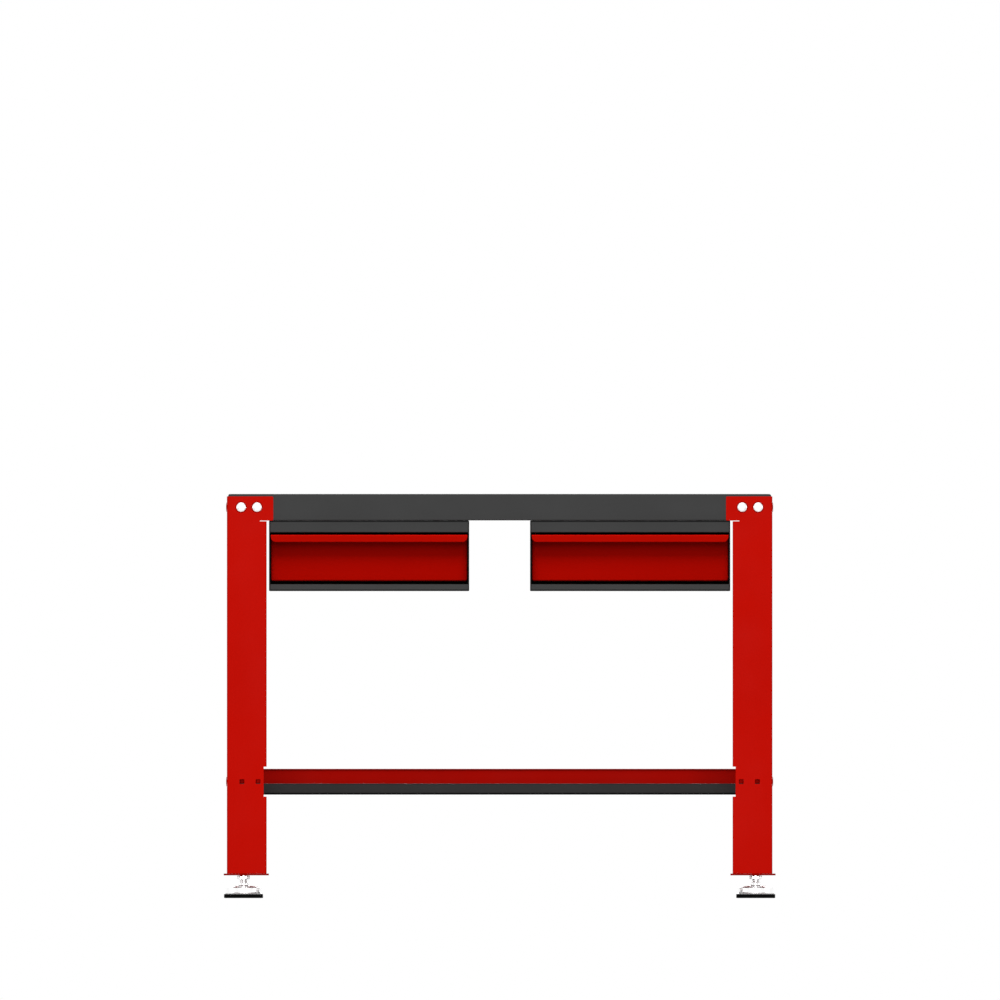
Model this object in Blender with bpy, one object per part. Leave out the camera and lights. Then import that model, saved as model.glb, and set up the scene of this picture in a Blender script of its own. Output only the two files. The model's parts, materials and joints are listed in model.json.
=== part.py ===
"""A steel workbench with two drawers: metres, +Z up, front towards -Y, origin on the floor below its centre."""

import math

import bmesh
import bpy
from mathutils import Matrix, Vector

# ---- Driving dimensions -------------------------------------------------------------------------
BENCH_WIDTH = 1.200  # over the outer faces of the legs
BENCH_DEPTH = 0.600
TOP_Z = 0.889  # worktop surface
CLEARANCE = 0.0003  # between pieces that touch
PAST = 0.004  # how far a cutter reaches past the sheet that it cuts

# Legs: one folded angle, with a lip on each flange and a flat head above it
LEG_THICKNESS = 0.0025
LEG_FLANGE = 0.0874
LEG_LIP = 0.015
LEG_HEAD_FLANGE = 0.102
LEG_BOTTOM_Z = 0.0543
LEG_TOP_Z = 0.8838
LEG_SLIT_LOW_Z = 0.8286
LEG_SLIT_HIGH_Z = 0.8311
LEG_SLIT_LENGTH = 0.015
LEG_NOTCH_DEPTH = 0.0065
LEG_NOTCH_LOW_Z = 0.2233
LEG_NOTCH_HIGH_Z = 0.2891
LEG_HOLE = 0.0104  # side of a square hole
UPPER_HOLE_Z = 0.860
UPPER_HOLES = (0.0313, 0.0663)  # from the leg's outer corner, along each flange
LOWER_HOLE_Z = 0.2563
LOWER_HOLES = (0.0330, 0.0685)

# Worktop: a folded pan, with a board and stiffeners inside
SHEET = 0.0015
PAN_EDGE_RADIUS = 0.004
PAN_BOTTOM_Z = 0.8308
PAN_RETURN = 0.025
CORE_THICKNESS = 0.016
STIFFENER_X = (-0.300, 0.0, 0.300)
STIFFENER_WIDTH = 0.060
STIFFENER_DEPTH = 0.024
STIFFENER_RIM = 0.018

# Lower frame and shelf
RAIL_HEIGHT = 0.0561
RAIL_FLANGE = 0.020
SIDE_RAIL_LENGTH = 0.580
STRINGER_LENGTH = 1.152
SHELF_WIDTH = 1.166
SHELF_FRONT_Y = -0.010
SHELF_BACK_Y = 0.283
SHELF_TOP_Z = 0.2520
SHELF_RETURN = 0.012
SHELF_EDGE_RADIUS = 0.003

# Drawer housings, hung under the worktop
HOUSING_X = 0.28715  # from the bench's centre to a housing's centre
HOUSING_WIDTH = 0.4403
HOUSING_BOTTOM_Z = 0.6754
HOUSING_FRONT_Y = -0.2925
HOUSING_BACK_Y = 0.2855
HOUSING_SHEET = 0.0012
HOUSING_HEM = 0.0026
OPENING_LOW_Z = 0.6907
OPENING_HIGH_Z = 0.8048
HOUSING_SCREW_X = 0.150
HOUSING_SCREW_Y = (-0.2800, 0.2790)

# Drawers
DRAWER_SHEET = 0.001
DRAWER_WIDTH = 0.4124
DRAWER_FRONT_Y = -0.2730
DRAWER_LENGTH = 0.500
DRAWER_BOTTOM_Z = 0.7005
DRAWER_TOP_Z = 0.7855
DRAWER_HEM = 0.006
DRAWER_EDGE_RADIUS = 0.003
FRONT_SHEET = 0.0012
FRONT_WIDTH = 0.432
FRONT_PANEL_Y = -0.2745
FRONT_LOW_Z = 0.6972
FRONT_HIGH_Z = 0.7990
FRONT_CORNER_RADIUS = 0.004
FRONT_RETURN = 0.011  # of the panel's foot, towards the rear
FRONT_BEND_RADIUS = 0.0022
PULL_LIP_Y = -0.2945
PULL_LIP_HEIGHT = 0.016
PULL_LIP_RADIUS = 0.012
FRONT_SCREW_X = 0.150
FRONT_SCREW_Z = (0.722, 0.766)

# Telescopic runners: an outer, a middle and an inner member on each side of a drawer
RUNNER_Z = 0.745
RUNNER_LENGTH = 0.500
RUNNER_FRONT_Y = -0.2700
RUNNER_SHEET = 0.0012
RUNNER_SETBACKS = (0.0, 0.002, 0.001)  # of the members' front ends
# (half height, offset of the web from the drawer's centre, offset of the flange tips)
RUNNER_OUTER = (0.0175, 0.2180, 0.2096)
RUNNER_MIDDLE = (0.0140, 0.2165, 0.2086)
RUNNER_INNER = (0.0105, 0.20715, 0.2140)

# Feet
FOOT_INSET = 0.0366  # of a foot's axis from both outer faces of its leg
PLATE_THICKNESS = 0.004
PLATE_LOW = -0.0070  # corners of a foot plate, from its leg's outer corner
PLATE_HIGH = 0.0923
PAD_RADIUS = 0.043
PAD_HEIGHT = 0.0088
BASE_RADIUS = 0.0385
BASE_TOP_Z = 0.0280
SCREW_RADIUS = 0.0078
SCREW_TOP_Z = 0.1000
SCREW_TIP = 0.0015
COLLAR_RADIUS = 0.0113
COLLAR_HEIGHT = 0.005
LOCK_NUT_HEIGHT = 0.008
WELD_NUT_HEIGHT = 0.010
FOOT_NUT_FLATS = 0.024

# Bolts and screws
BOLT_HEAD_RADIUS = 0.0108
BOLT_HEAD_HEIGHT = 0.0050
BOLT_NECK = 0.0098
BOLT_SHANK_RADIUS = 0.0046
BOLT_LENGTH = 0.016
BOLT_HOLE_RADIUS = 0.0055
SMALL_HOLE_RADIUS = 0.0031

MATERIALS = {
    "red_powder_coat": ((0.527, 0.006, 0.0), 0.42, 0.0),
    "charcoal_powder_coat": ((0.054, 0.054, 0.055), 0.5, 0.0),
    "bright_zinc": ((0.85, 0.86, 0.87), 0.22, 1.0),
    "runner_steel": ((0.62, 0.63, 0.65), 0.32, 1.0),
    "black_rubber": ((0.012, 0.012, 0.012), 0.75, 0.0),
    "fibreboard": ((0.42, 0.29, 0.17), 0.85, 0.0),
}


# ---- Shapes: each is a list of points and a list of faces ----------------------------------------
def loft(rings, closed=False):
    """A body through rings with equal numbers of points. It has two end caps, or is closed on itself."""
    count = len(rings[0])
    points = [Vector(p) for ring in rings for p in ring]
    faces = []
    pairs = [(i, i + 1) for i in range(len(rings) - 1)]
    if closed:
        pairs.append((len(rings) - 1, 0))
    for a, b in pairs:
        for k in range(count):
            n = (k + 1) % count
            faces.append((a * count + k, a * count + n, b * count + n, b * count + k))
    if not closed:
        faces.append(tuple(reversed(range(count))))
        faces.append(tuple((len(rings) - 1) * count + k for k in range(count)))
    return points, faces


def prism(outline, axis, low, high):
    """An outline of two-number points, swept along X, Y or Z. Its numbers are the other two axes in order."""

    def at(point, level):
        row = list(point)
        row.insert("XYZ".index(axis), level)
        return row

    return loft([[at(p, low) for p in outline], [at(p, high) for p in outline]])


def box(low, high):
    corners = [(low[0], low[1]), (high[0], low[1]), (high[0], high[1]), (low[0], high[1])]
    return prism(corners, "Z", low[2], high[2])


def circle(radius, z, sides):
    turn = 2 * math.pi / sides
    return [(radius * math.cos(k * turn), radius * math.sin(k * turn), z) for k in range(sides)]


def square(half, z, sides):
    """A square ring with as many points as a circle of that many sides."""
    ring = []
    for x, y, _ in circle(1.0, z, sides):
        reach = half / max(abs(x), abs(y))
        ring.append((x * reach, y * reach, z))
    return ring


def rectangle(x, y, z, radius, steps=2):
    """A level ring with rounded corners, between the limits x and y."""
    ring = []
    corners = ((x[1], y[1], 1, 1, 0), (x[0], y[1], -1, 1, 1), (x[0], y[0], -1, -1, 2), (x[1], y[0], 1, -1, 3))
    for cx, cy, sx, sy, quarter in corners:
        for k in range(steps + 1):
            angle = math.pi / 2 * (quarter + k / steps)
            px = cx - sx * radius + radius * math.cos(angle)
            py = cy - sy * radius + radius * math.sin(angle)
            ring.append((px, py, z))
    return ring


def turned(profile, sides):
    """A body turned about Z through (radius, height) points, none of them on the axis."""
    return loft([circle(radius, z, sides) for radius, z in profile])


def folded(path, thickness, radius, steps=3):
    """The outline of a sheet whose mid-line follows a path, with rounded bends."""
    left = []
    right = []
    half = thickness / 2
    points = [Vector(p) for p in path]
    for i, point in enumerate(points):
        before = (point - points[i - 1]).normalized() if i else None
        after = (points[i + 1] - point).normalized() if i + 1 < len(points) else None
        if before is None or after is None:
            along = after or before
            normal = Vector((-along.y, along.x))
            left.append(point + normal * half)
            right.append(point - normal * half)
            continue
        turn = math.atan2(before.x * after.y - before.y * after.x, before.dot(after))
        side = math.copysign(1.0, turn)
        normal = Vector((-before.y, before.x))
        centre = point - before * radius * math.tan(abs(turn) / 2) + normal * side * radius
        for k in range(steps + 1):
            swung = Matrix.Rotation(turn * k / steps, 2) @ normal
            middle = centre - swung * side * radius
            left.append(middle + swung * half)
            right.append(middle - swung * half)
    return [tuple(p) for p in left + right[::-1]]


def moved(shape, matrix):
    points, faces = shape
    return [matrix @ p for p in points], faces


def shifted(shape, x, y, z):
    return moved(shape, Matrix.Translation((x, y, z)))


def grouped(shapes):
    points = []
    faces = []
    for more_points, more_faces in shapes:
        start = len(points)
        points.extend(more_points)
        faces.extend(tuple(start + i for i in face) for face in more_faces)
    return points, faces


# ---- Objects ------------------------------------------------------------------------------------
def make_material(name):
    colour, roughness, metallic = MATERIALS[name]
    material = bpy.data.materials.get(name)
    if material is None:
        material = bpy.data.materials.new(name)
        material.use_nodes = True
        shader = material.node_tree.nodes["Principled BSDF"]
        shader.inputs["Base Color"].default_value = (*colour, 1.0)
        shader.inputs["Roughness"].default_value = roughness
        shader.inputs["Metallic"].default_value = metallic
    return material


def as_mesh(name, shape):
    """A mesh whose faces point out of each of its bodies."""
    mesh = bpy.data.meshes.new(name)
    points, faces = shape
    mesh.from_pydata([tuple(p) for p in points], [], faces)
    fixed = bmesh.new()
    fixed.from_mesh(mesh)
    bmesh.ops.recalc_face_normals(fixed, faces=fixed.faces)
    fixed.to_mesh(mesh)
    fixed.free()
    return mesh


def place(name, mesh, material, location=(0, 0, 0), turn=0.0, parent=None):
    """An object for one piece, at its place in the world even when it has a parent."""
    piece = bpy.data.objects.new(name, mesh)
    bpy.context.collection.objects.link(piece)
    if not mesh.materials:
        mesh.materials.append(make_material(material))
    mesh.shade_smooth()
    mesh.set_sharp_from_angle(angle=math.radians(35))
    piece.rotation_euler.z = turn
    piece.location = Vector(location) - (parent.location if parent else Vector())
    piece.parent = parent
    return piece


def combined(mesh, shape, operation):
    """The mesh with a shape taken away from it or added to it."""
    work = bpy.data.objects.new("work", mesh)
    tool = bpy.data.objects.new("tool", as_mesh("tool", shape))
    for item in (work, tool):
        bpy.context.collection.objects.link(item)
    step = work.modifiers.new("combine", "BOOLEAN")
    step.solver = "EXACT"
    step.operation = operation
    step.object = tool
    bpy.context.view_layer.update()
    done = work.evaluated_get(bpy.context.evaluated_depsgraph_get())
    result = bpy.data.meshes.new_from_object(done)
    for item in (work, tool):
        bpy.data.objects.remove(item)
    return result


def axis_empty(name, location):
    """The axis that a moving piece slides along or turns about."""
    empty = bpy.data.objects.new(name, None)
    bpy.context.collection.objects.link(empty)
    empty.location = location
    return empty


# ---- Where things are ---------------------------------------------------------------------------
HALF_WIDTH = BENCH_WIDTH / 2
HALF_DEPTH = BENCH_DEPTH / 2
SHEET_OUTSET = LEG_THICKNESS + CLEARANCE  # from a leg's outer face to the sheet behind it
PAN_X = HALF_WIDTH - SHEET_OUTSET
PAN_Y = HALF_DEPTH - SHEET_OUTSET
HOUSING_TOP_Z = PAN_BOTTOM_Z - CLEARANCE
RAIL_LOW_Z = LOWER_HOLE_Z - RAIL_HEIGHT / 2

# Each corner of the bench: name, side in X, side in Y, and the turn that puts the one leg shape there
CORNERS = (
    ("front_left", -1, -1, 0.0),
    ("front_right", 1, -1, math.pi / 2),
    ("rear_right", 1, 1, math.pi),
    ("rear_left", -1, 1, -math.pi / 2),
)


# ---- Legs and feet ------------------------------------------------------------------------------
def angle_path(flange, lip):
    """The mid-line of an angle with its outer corner at the origin, and a lip where lip isn't zero."""
    mid = LEG_THICKNESS / 2
    corner = [(mid, flange), (mid, mid), (flange, mid)]
    if lip:
        corner = [(lip, flange - mid), (mid, flange - mid), (mid, mid), (flange - mid, mid), (flange - mid, lip)]
    return corner


def leg_section(flange, lip, low, high):
    return prism(folded(angle_path(flange, lip), LEG_THICKNESS, LEG_THICKNESS), "Z", low, high)


def leg_cutters():
    """Square bolt holes, and the notches that let the lower rails past the lips."""
    cutters = []
    half = LEG_HOLE / 2
    for along, z in [(u, UPPER_HOLE_Z) for u in UPPER_HOLES] + [(u, LOWER_HOLE_Z) for u in LOWER_HOLES]:
        cutters.append(box((along - half, -PAST, z - half), (along + half, PAST, z + half)))
        cutters.append(box((-PAST, along - half, z - half), (PAST, along + half, z + half)))
    notch = LEG_FLANGE - LEG_NOTCH_DEPTH
    edge = LEG_FLANGE + PAST
    deep = LEG_LIP + PAST
    cutters.append(box((notch, -PAST, LEG_NOTCH_LOW_Z), (edge, deep, LEG_NOTCH_HIGH_Z)))
    cutters.append(box((-PAST, notch, LEG_NOTCH_LOW_Z), (deep, edge, LEG_NOTCH_HIGH_Z)))
    return grouped(cutters)


def leg_mesh():
    overlap = 0.010
    waist = LEG_FLANGE - LEG_SLIT_LENGTH
    mesh = as_mesh("leg", leg_section(LEG_FLANGE, LEG_LIP, LEG_BOTTOM_Z, LEG_SLIT_LOW_Z))
    neck = leg_section(waist, 0, LEG_SLIT_LOW_Z - overlap, LEG_SLIT_HIGH_Z + overlap)
    head = leg_section(LEG_HEAD_FLANGE, 0, LEG_SLIT_HIGH_Z, LEG_TOP_Z)
    for shape in (neck, head):
        mesh = combined(mesh, shape, "UNION")
    return combined(mesh, leg_cutters(), "DIFFERENCE")


def foot_plate_mesh():
    plate = box(
        (PLATE_LOW, PLATE_LOW, LEG_BOTTOM_Z - CLEARANCE - PLATE_THICKNESS),
        (PLATE_HIGH, PLATE_HIGH, LEG_BOTTOM_Z - CLEARANCE),
    )
    hole = turned([(SCREW_RADIUS + CLEARANCE, 0.0), (SCREW_RADIUS + CLEARANCE, LEG_TOP_Z)], 20)
    return combined(as_mesh("foot_plate", plate), shifted(hole, FOOT_INSET, FOOT_INSET, 0), "DIFFERENCE")


def nut(flats, bore, low, high):
    """A hexagon nut about Z, standing between two heights."""
    sides = 12
    rings = []
    for level, hexagonal in ((low, True), (high, True), (high, False), (low, False)):
        ring = []
        for k, (x, y, z) in enumerate(circle(1.0, level, sides)):
            reach = flats / 2 / (math.cos(math.pi / 6) if k % 2 == 0 else 1.0) if hexagonal else bore
            ring.append((x * reach, y * reach, z))
        rings.append(ring)
    return loft(rings, closed=True)


def foot_base_shape():
    """The pressed steel cup on the rubber pad, with a shallow domed top."""
    low = PAD_HEIGHT + CLEARANCE
    wall_top = BASE_TOP_Z - 0.005
    profile = [
        (BASE_RADIUS + 0.002, low),
        (BASE_RADIUS + 0.002, low + 0.002),
        (BASE_RADIUS, low + 0.0045),
        (BASE_RADIUS, wall_top),
        (BASE_RADIUS - 0.002, wall_top + 0.0018),
        (BASE_RADIUS * 0.70, wall_top + 0.0036),
        (BASE_RADIUS * 0.36, BASE_TOP_Z),
        (SCREW_RADIUS + 0.001, BASE_TOP_Z),
    ]
    return turned(profile, 28)


def foot_pad_shape():
    edge = 0.0012
    profile = [
        (PAD_RADIUS - edge, 0.0),
        (PAD_RADIUS, edge),
        (PAD_RADIUS, PAD_HEIGHT - edge),
        (PAD_RADIUS - edge, PAD_HEIGHT),
    ]
    return turned(profile, 28)


def foot_screw_shape():
    """The threaded stem, with a collar that stands on the base."""
    low = BASE_TOP_Z + CLEARANCE
    collar = low + COLLAR_HEIGHT
    profile = [
        (COLLAR_RADIUS, low),
        (COLLAR_RADIUS, collar),
        (SCREW_RADIUS, collar),
        (SCREW_RADIUS, SCREW_TOP_Z - SCREW_TIP),
        (SCREW_RADIUS - SCREW_TIP, SCREW_TOP_Z),
    ]
    return turned(profile, 20)


def make_legs_and_feet():
    leg = leg_mesh()
    plate = foot_plate_mesh()
    base = as_mesh("foot_base", foot_base_shape())
    pad = as_mesh("foot_pad", foot_pad_shape())
    screw = as_mesh("foot_screw", foot_screw_shape())
    plate_low = LEG_BOTTOM_Z - CLEARANCE - PLATE_THICKNESS
    bore = SCREW_RADIUS + CLEARANCE
    lock_high = plate_low - CLEARANCE
    lock_nut = as_mesh("lock_nut", nut(FOOT_NUT_FLATS, bore, lock_high - LOCK_NUT_HEIGHT, lock_high))
    weld_nut = as_mesh("weld_nut", nut(FOOT_NUT_FLATS, bore, LEG_BOTTOM_Z, LEG_BOTTOM_Z + WELD_NUT_HEIGHT))
    for name, side_x, side_y, turn in CORNERS:
        corner = (side_x * HALF_WIDTH, side_y * HALF_DEPTH, 0)
        foot = (side_x * (HALF_WIDTH - FOOT_INSET), side_y * (HALF_DEPTH - FOOT_INSET), 0)
        place(name + "_leg", leg, "red_powder_coat", corner, turn)
        place(name + "_foot_plate", plate, "red_powder_coat", corner, turn)
        axis = axis_empty(name + "_foot_axis", foot)
        place(name + "_foot_base", base, "bright_zinc", foot, parent=axis)
        place(name + "_foot_pad", pad, "black_rubber", foot, parent=axis)
        place(name + "_foot_screw", screw, "bright_zinc", foot, parent=axis)
        place(name + "_lock_nut", lock_nut, "bright_zinc", foot)
        place(name + "_weld_nut", weld_nut, "red_powder_coat", foot)


# ---- Bolts of the frame -----------------------------------------------------------------
def carriage_bolt(head_radius, head_height):
    """A bolt about Z. Its domed head stands on the plane z = 0, and its shank runs down."""
    sides = 16
    seat = CLEARANCE
    neck = -LEG_THICKNESS - 0.0001
    rings = [
        circle(head_radius * 0.34, head_height, sides),
        circle(head_radius * 0.68, head_height * 0.84, sides),
        circle(head_radius * 0.91, head_height * 0.52, sides),
        circle(head_radius, seat + head_height * 0.12, sides),
        circle(head_radius, seat, sides),
        square(BOLT_NECK / 2, seat, sides),
        square(BOLT_NECK / 2, neck, sides),
        circle(BOLT_SHANK_RADIUS, neck, sides),
        circle(BOLT_SHANK_RADIUS, -BOLT_LENGTH + 0.001, sides),
        circle(BOLT_SHANK_RADIUS - 0.001, -BOLT_LENGTH, sides),
    ]
    return loft(rings)


def on_face(shape, side, along, z):
    """A shape about Z, stood on a leg's outer face at a distance along the flange from the leg's corner.

    A side is (face, x sign, y sign): face "Y" is a front or rear face and face "X" an end face.
    """
    face, side_x, side_y = side
    if face == "Y":
        outward = Matrix.Rotation(-side_y * math.pi / 2, 4, "X")
        spot = (side_x * (HALF_WIDTH - along), side_y * HALF_DEPTH, z)
    else:
        outward = Matrix.Rotation(side_x * math.pi / 2, 4, "Y") @ Matrix.Rotation(math.pi / 2, 4, "Z")
        spot = (side_x * HALF_WIDTH, side_y * (HALF_DEPTH - along), z)
    return moved(shape, Matrix.Translation(spot) @ outward)


def make_front_bolts():
    """The bolts through the heads of the front legs: the bench's other bolts are the same or hidden."""
    bolt = carriage_bolt(BOLT_HEAD_RADIUS, BOLT_HEAD_HEIGHT)
    for name, side_x, side_y, _ in CORNERS:
        if side_y > 0:
            continue
        for where, along in zip(("outer", "inner"), UPPER_HOLES):
            label = f"{name}_{where}_bolt"
            shape = on_face(bolt, ("Y", side_x, side_y), along, UPPER_HOLE_Z)
            place(label, as_mesh(label, shape), "bright_zinc")


def hole_cutter(radius, side, along, z):
    """A round cutter through the sheet behind a leg's face."""
    rod = turned([(radius, PAST), (radius, -2 * PAST)], 16)
    return on_face(rod, side, along, z)


# ---- Worktop -------------------------------------------------------------------------------------
def inset_ring(inset, z, radius):
    return rectangle((-PAN_X + inset, PAN_X - inset), (-PAN_Y + inset, PAN_Y - inset), z, radius)


def worktop_pan_mesh():
    """A tray turned upside down, with rounded top edges and a return flange along its lower edge."""
    edge = PAN_EDGE_RADIUS
    corner = 0.005
    rings = []
    for k in range(4):
        angle = math.pi / 2 * k / 3
        inset = edge * (1 - math.sin(angle))
        rings.append(inset_ring(inset, TOP_Z - edge + edge * math.cos(angle), corner))
    rings += [
        inset_ring(0, PAN_BOTTOM_Z, corner),
        inset_ring(PAN_RETURN, PAN_BOTTOM_Z, 0.002),
        inset_ring(PAN_RETURN, PAN_BOTTOM_Z + SHEET, 0.002),
        inset_ring(SHEET, PAN_BOTTOM_Z + SHEET, corner - SHEET),
        inset_ring(SHEET, TOP_Z - edge, corner - SHEET),
        inset_ring(edge, TOP_Z - SHEET, corner - SHEET),
    ]
    holes = []
    for _, side_x, side_y, _ in CORNERS:
        for along in UPPER_HOLES:
            for face in ("X", "Y"):
                holes.append(hole_cutter(BOLT_HOLE_RADIUS, (face, side_x, side_y), along, UPPER_HOLE_Z))
    holes += housing_screw_holes()
    return combined(as_mesh("worktop_pan", loft(rings)), grouped(holes), "DIFFERENCE")


def core_rings():
    """The board's outline: clear of the pan's bends all round."""
    inset = PAN_EDGE_RADIUS + 0.001
    high = TOP_Z - SHEET - CLEARANCE
    return [inset_ring(inset, z, 0.003) for z in (high - CORE_THICKNESS, high)]


def stiffener_shape():
    """A hat section along Y, open at the top, whose rims carry the board."""
    half = STIFFENER_WIDTH / 2
    high = TOP_Z - SHEET - 2 * CLEARANCE - CORE_THICKNESS - SHEET / 2
    low = high - STIFFENER_DEPTH
    edge = half + STIFFENER_RIM
    path = [(-edge, high), (-half, high), (-half, low), (half, low), (half, high), (edge, high)]
    end = PAN_Y - SHEET - CLEARANCE
    return prism(folded(path, SHEET, SHEET), "Y", -end, end)


def make_worktop():
    place("worktop_pan", worktop_pan_mesh(), "charcoal_powder_coat")
    place("worktop_core", as_mesh("worktop_core", loft(core_rings())), "fibreboard")
    stiffener = as_mesh("stiffener", stiffener_shape())
    for name, x in zip(("left", "middle", "right"), STIFFENER_X):
        place(name + "_stiffener", stiffener, "charcoal_powder_coat", (x, 0, 0))


# ---- Lower frame and shelf -----------------------------------------------------------------------
def rail_section(outer, inward):
    """A channel with its web at outer and both flanges pointing the way of inward."""
    mid = SHEET / 2
    web = outer + inward * mid
    tip = outer + inward * RAIL_FLANGE
    low = RAIL_LOW_Z + mid
    high = RAIL_LOW_Z + RAIL_HEIGHT - mid
    return folded([(tip, low), (web, low), (web, high), (tip, high)], SHEET, SHEET * 1.2)


def side_rail_mesh(side_x):
    half = SIDE_RAIL_LENGTH / 2
    body = prism(rail_section(side_x * PAN_X, -side_x), "Y", -half, half)
    cutters = [
        hole_cutter(BOLT_HOLE_RADIUS, ("X", side_x, side_y), along, LOWER_HOLE_Z)
        for side_y in (-1, 1)
        for along in LOWER_HOLES
    ]
    return combined(as_mesh("side_rail", body), grouped(cutters), "DIFFERENCE")


def rear_stringer_mesh():
    half = STRINGER_LENGTH / 2
    body = prism(rail_section(PAN_Y, -1), "X", -half, half)
    cutters = [
        hole_cutter(BOLT_HOLE_RADIUS, ("Y", side_x, 1), along, LOWER_HOLE_Z)
        for side_x in (-1, 1)
        for along in LOWER_HOLES
    ]
    return combined(as_mesh("rear_stringer", body), grouped(cutters), "DIFFERENCE")


def shelf_shape():
    """An upside-down tray that drops between the rails, onto their lower flanges."""
    edge = SHELF_EDGE_RADIUS
    low = RAIL_LOW_Z + SHEET + CLEARANCE

    def ring(inset, z, radius):
        half = SHELF_WIDTH / 2 - inset
        return rectangle((-half, half), (SHELF_FRONT_Y + inset, SHELF_BACK_Y - inset), z, radius)

    return loft(
        [
            ring(edge, SHELF_TOP_Z, 0.004),
            ring(edge * 0.3, SHELF_TOP_Z - edge * 0.3, 0.004),
            ring(0, SHELF_TOP_Z - edge, 0.004),
            ring(0, low, 0.004),
            ring(SHELF_RETURN, low, 0.002),
            ring(SHELF_RETURN, low + SHEET, 0.002),
            ring(SHEET, low + SHEET, 0.003),
            ring(SHEET, SHELF_TOP_Z - edge, 0.003),
            ring(edge, SHELF_TOP_Z - SHEET, 0.003),
        ]
    )


def make_lower_frame():
    place("left_side_rail", side_rail_mesh(-1), "red_powder_coat")
    place("right_side_rail", side_rail_mesh(1), "red_powder_coat")
    place("rear_stringer", rear_stringer_mesh(), "red_powder_coat")
    place("lower_shelf", as_mesh("lower_shelf", shelf_shape()), "charcoal_powder_coat")


# ---- Drawer housings -----------------------------------------------------------------------------
def housing_screw_places():
    """The axes of the screws that hang the housings, as (x, y)."""
    return [
        (side * HOUSING_X + offset, y)
        for side in (-1, 1)
        for offset in (-HOUSING_SCREW_X, HOUSING_SCREW_X)
        for y in HOUSING_SCREW_Y
    ]


def housing_screw_holes():
    rod = turned([(SMALL_HOLE_RADIUS, PAN_BOTTOM_Z - PAST), (SMALL_HOLE_RADIUS, PAN_BOTTOM_Z + PAST)], 12)
    return [shifted(rod, x, y, 0) for x, y in housing_screw_places()]


def housing_mesh(centre):
    """A box with one open side at the front, framed by a deep band above and a shallow one below."""

    def ring(x_inset, low, high, y):
        half = HOUSING_WIDTH / 2 - x_inset
        corners = ((-half, low), (half, low), (half, high), (-half, high))
        return [(centre + x, y, z) for x, z in corners]

    low = HOUSING_BOTTOM_Z
    high = HOUSING_TOP_Z
    sheet = HOUSING_SHEET
    inside = (sheet, low + sheet, high - sheet)
    rings = [
        ring(0, low, high, HOUSING_BACK_Y),
        ring(0, low, high, HOUSING_FRONT_Y),
        ring(HOUSING_HEM, OPENING_LOW_Z, OPENING_HIGH_Z, HOUSING_FRONT_Y),
        ring(HOUSING_HEM, OPENING_LOW_Z, OPENING_HIGH_Z, HOUSING_FRONT_Y + sheet),
        ring(*inside, HOUSING_FRONT_Y + sheet),
        ring(*inside, HOUSING_BACK_Y - sheet),
    ]
    return combined(as_mesh("housing", loft(rings)), grouped(housing_screw_holes()), "DIFFERENCE")


def make_housings():
    place("left_drawer_housing", housing_mesh(-HOUSING_X), "charcoal_powder_coat")
    place("right_drawer_housing", housing_mesh(HOUSING_X), "charcoal_powder_coat")


# ---- Drawers and runners -------------------------------------------------------------------------
def corner_cutter(side_x, half, low, radius, y_low, y_high):
    """What a rounded lower corner leaves out, as a prism along Y."""
    steps = 5
    past = PAST / 2
    cx = side_x * (half - radius)
    cz = low + radius
    outline = [(side_x * (half + past), cz), (side_x * (half + past), low - past), (cx, low - past)]
    for k in range(steps + 1):
        angle = math.pi / 2 * k / steps
        outline.append((cx + side_x * radius * math.sin(angle), cz - radius * math.cos(angle)))
    return prism(outline, "Y", y_low, y_high)


def drawer_front_mesh():
    """One folded sheet: a panel, a step forward along its top edge, and the pull lip hanging from it."""
    mid = FRONT_SHEET / 2
    panel_y = FRONT_PANEL_Y + mid
    lip_y = PULL_LIP_Y + mid
    low = FRONT_LOW_Z + mid
    high = FRONT_HIGH_Z - mid
    lip_low = FRONT_HIGH_Z - PULL_LIP_HEIGHT
    path = [(panel_y + FRONT_RETURN, low), (panel_y, low), (panel_y, high), (lip_y, high), (lip_y, lip_low)]
    half = FRONT_WIDTH / 2
    mesh = as_mesh("drawer_front", prism(folded(path, FRONT_SHEET, FRONT_BEND_RADIUS), "X", -half, half))
    between = (FRONT_PANEL_Y + PULL_LIP_Y) / 2
    cutters = []
    for side in (-1, 1):
        cutters.append(corner_cutter(side, half, lip_low, PULL_LIP_RADIUS, PULL_LIP_Y - PAST, between))
        low_corner = (FRONT_LOW_Z, FRONT_CORNER_RADIUS, between, FRONT_PANEL_Y + FRONT_RETURN + PAST)
        cutters.append(corner_cutter(side, half, *low_corner))
    cutters += front_screw_holes(0.0)
    return combined(mesh, grouped(cutters), "DIFFERENCE")


def front_screw_places(centre):
    return [(centre + x, z) for x in (-FRONT_SCREW_X, FRONT_SCREW_X) for z in FRONT_SCREW_Z]


def along_y(shape, x, y, z):
    """A shape about Z, laid down so that its top points to the front."""
    return moved(shape, Matrix.Translation((x, y, z)) @ Matrix.Rotation(math.pi / 2, 4, "X"))


def front_screw_holes(centre):
    """Blind holes in the panel's back: they stop inside its sheet."""
    rod = turned([(SMALL_HOLE_RADIUS, -PAST), (SMALL_HOLE_RADIUS, -FRONT_SHEET * 0.6)], 12)
    return [along_y(rod, x, FRONT_PANEL_Y, z) for x, z in front_screw_places(centre)]


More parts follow.
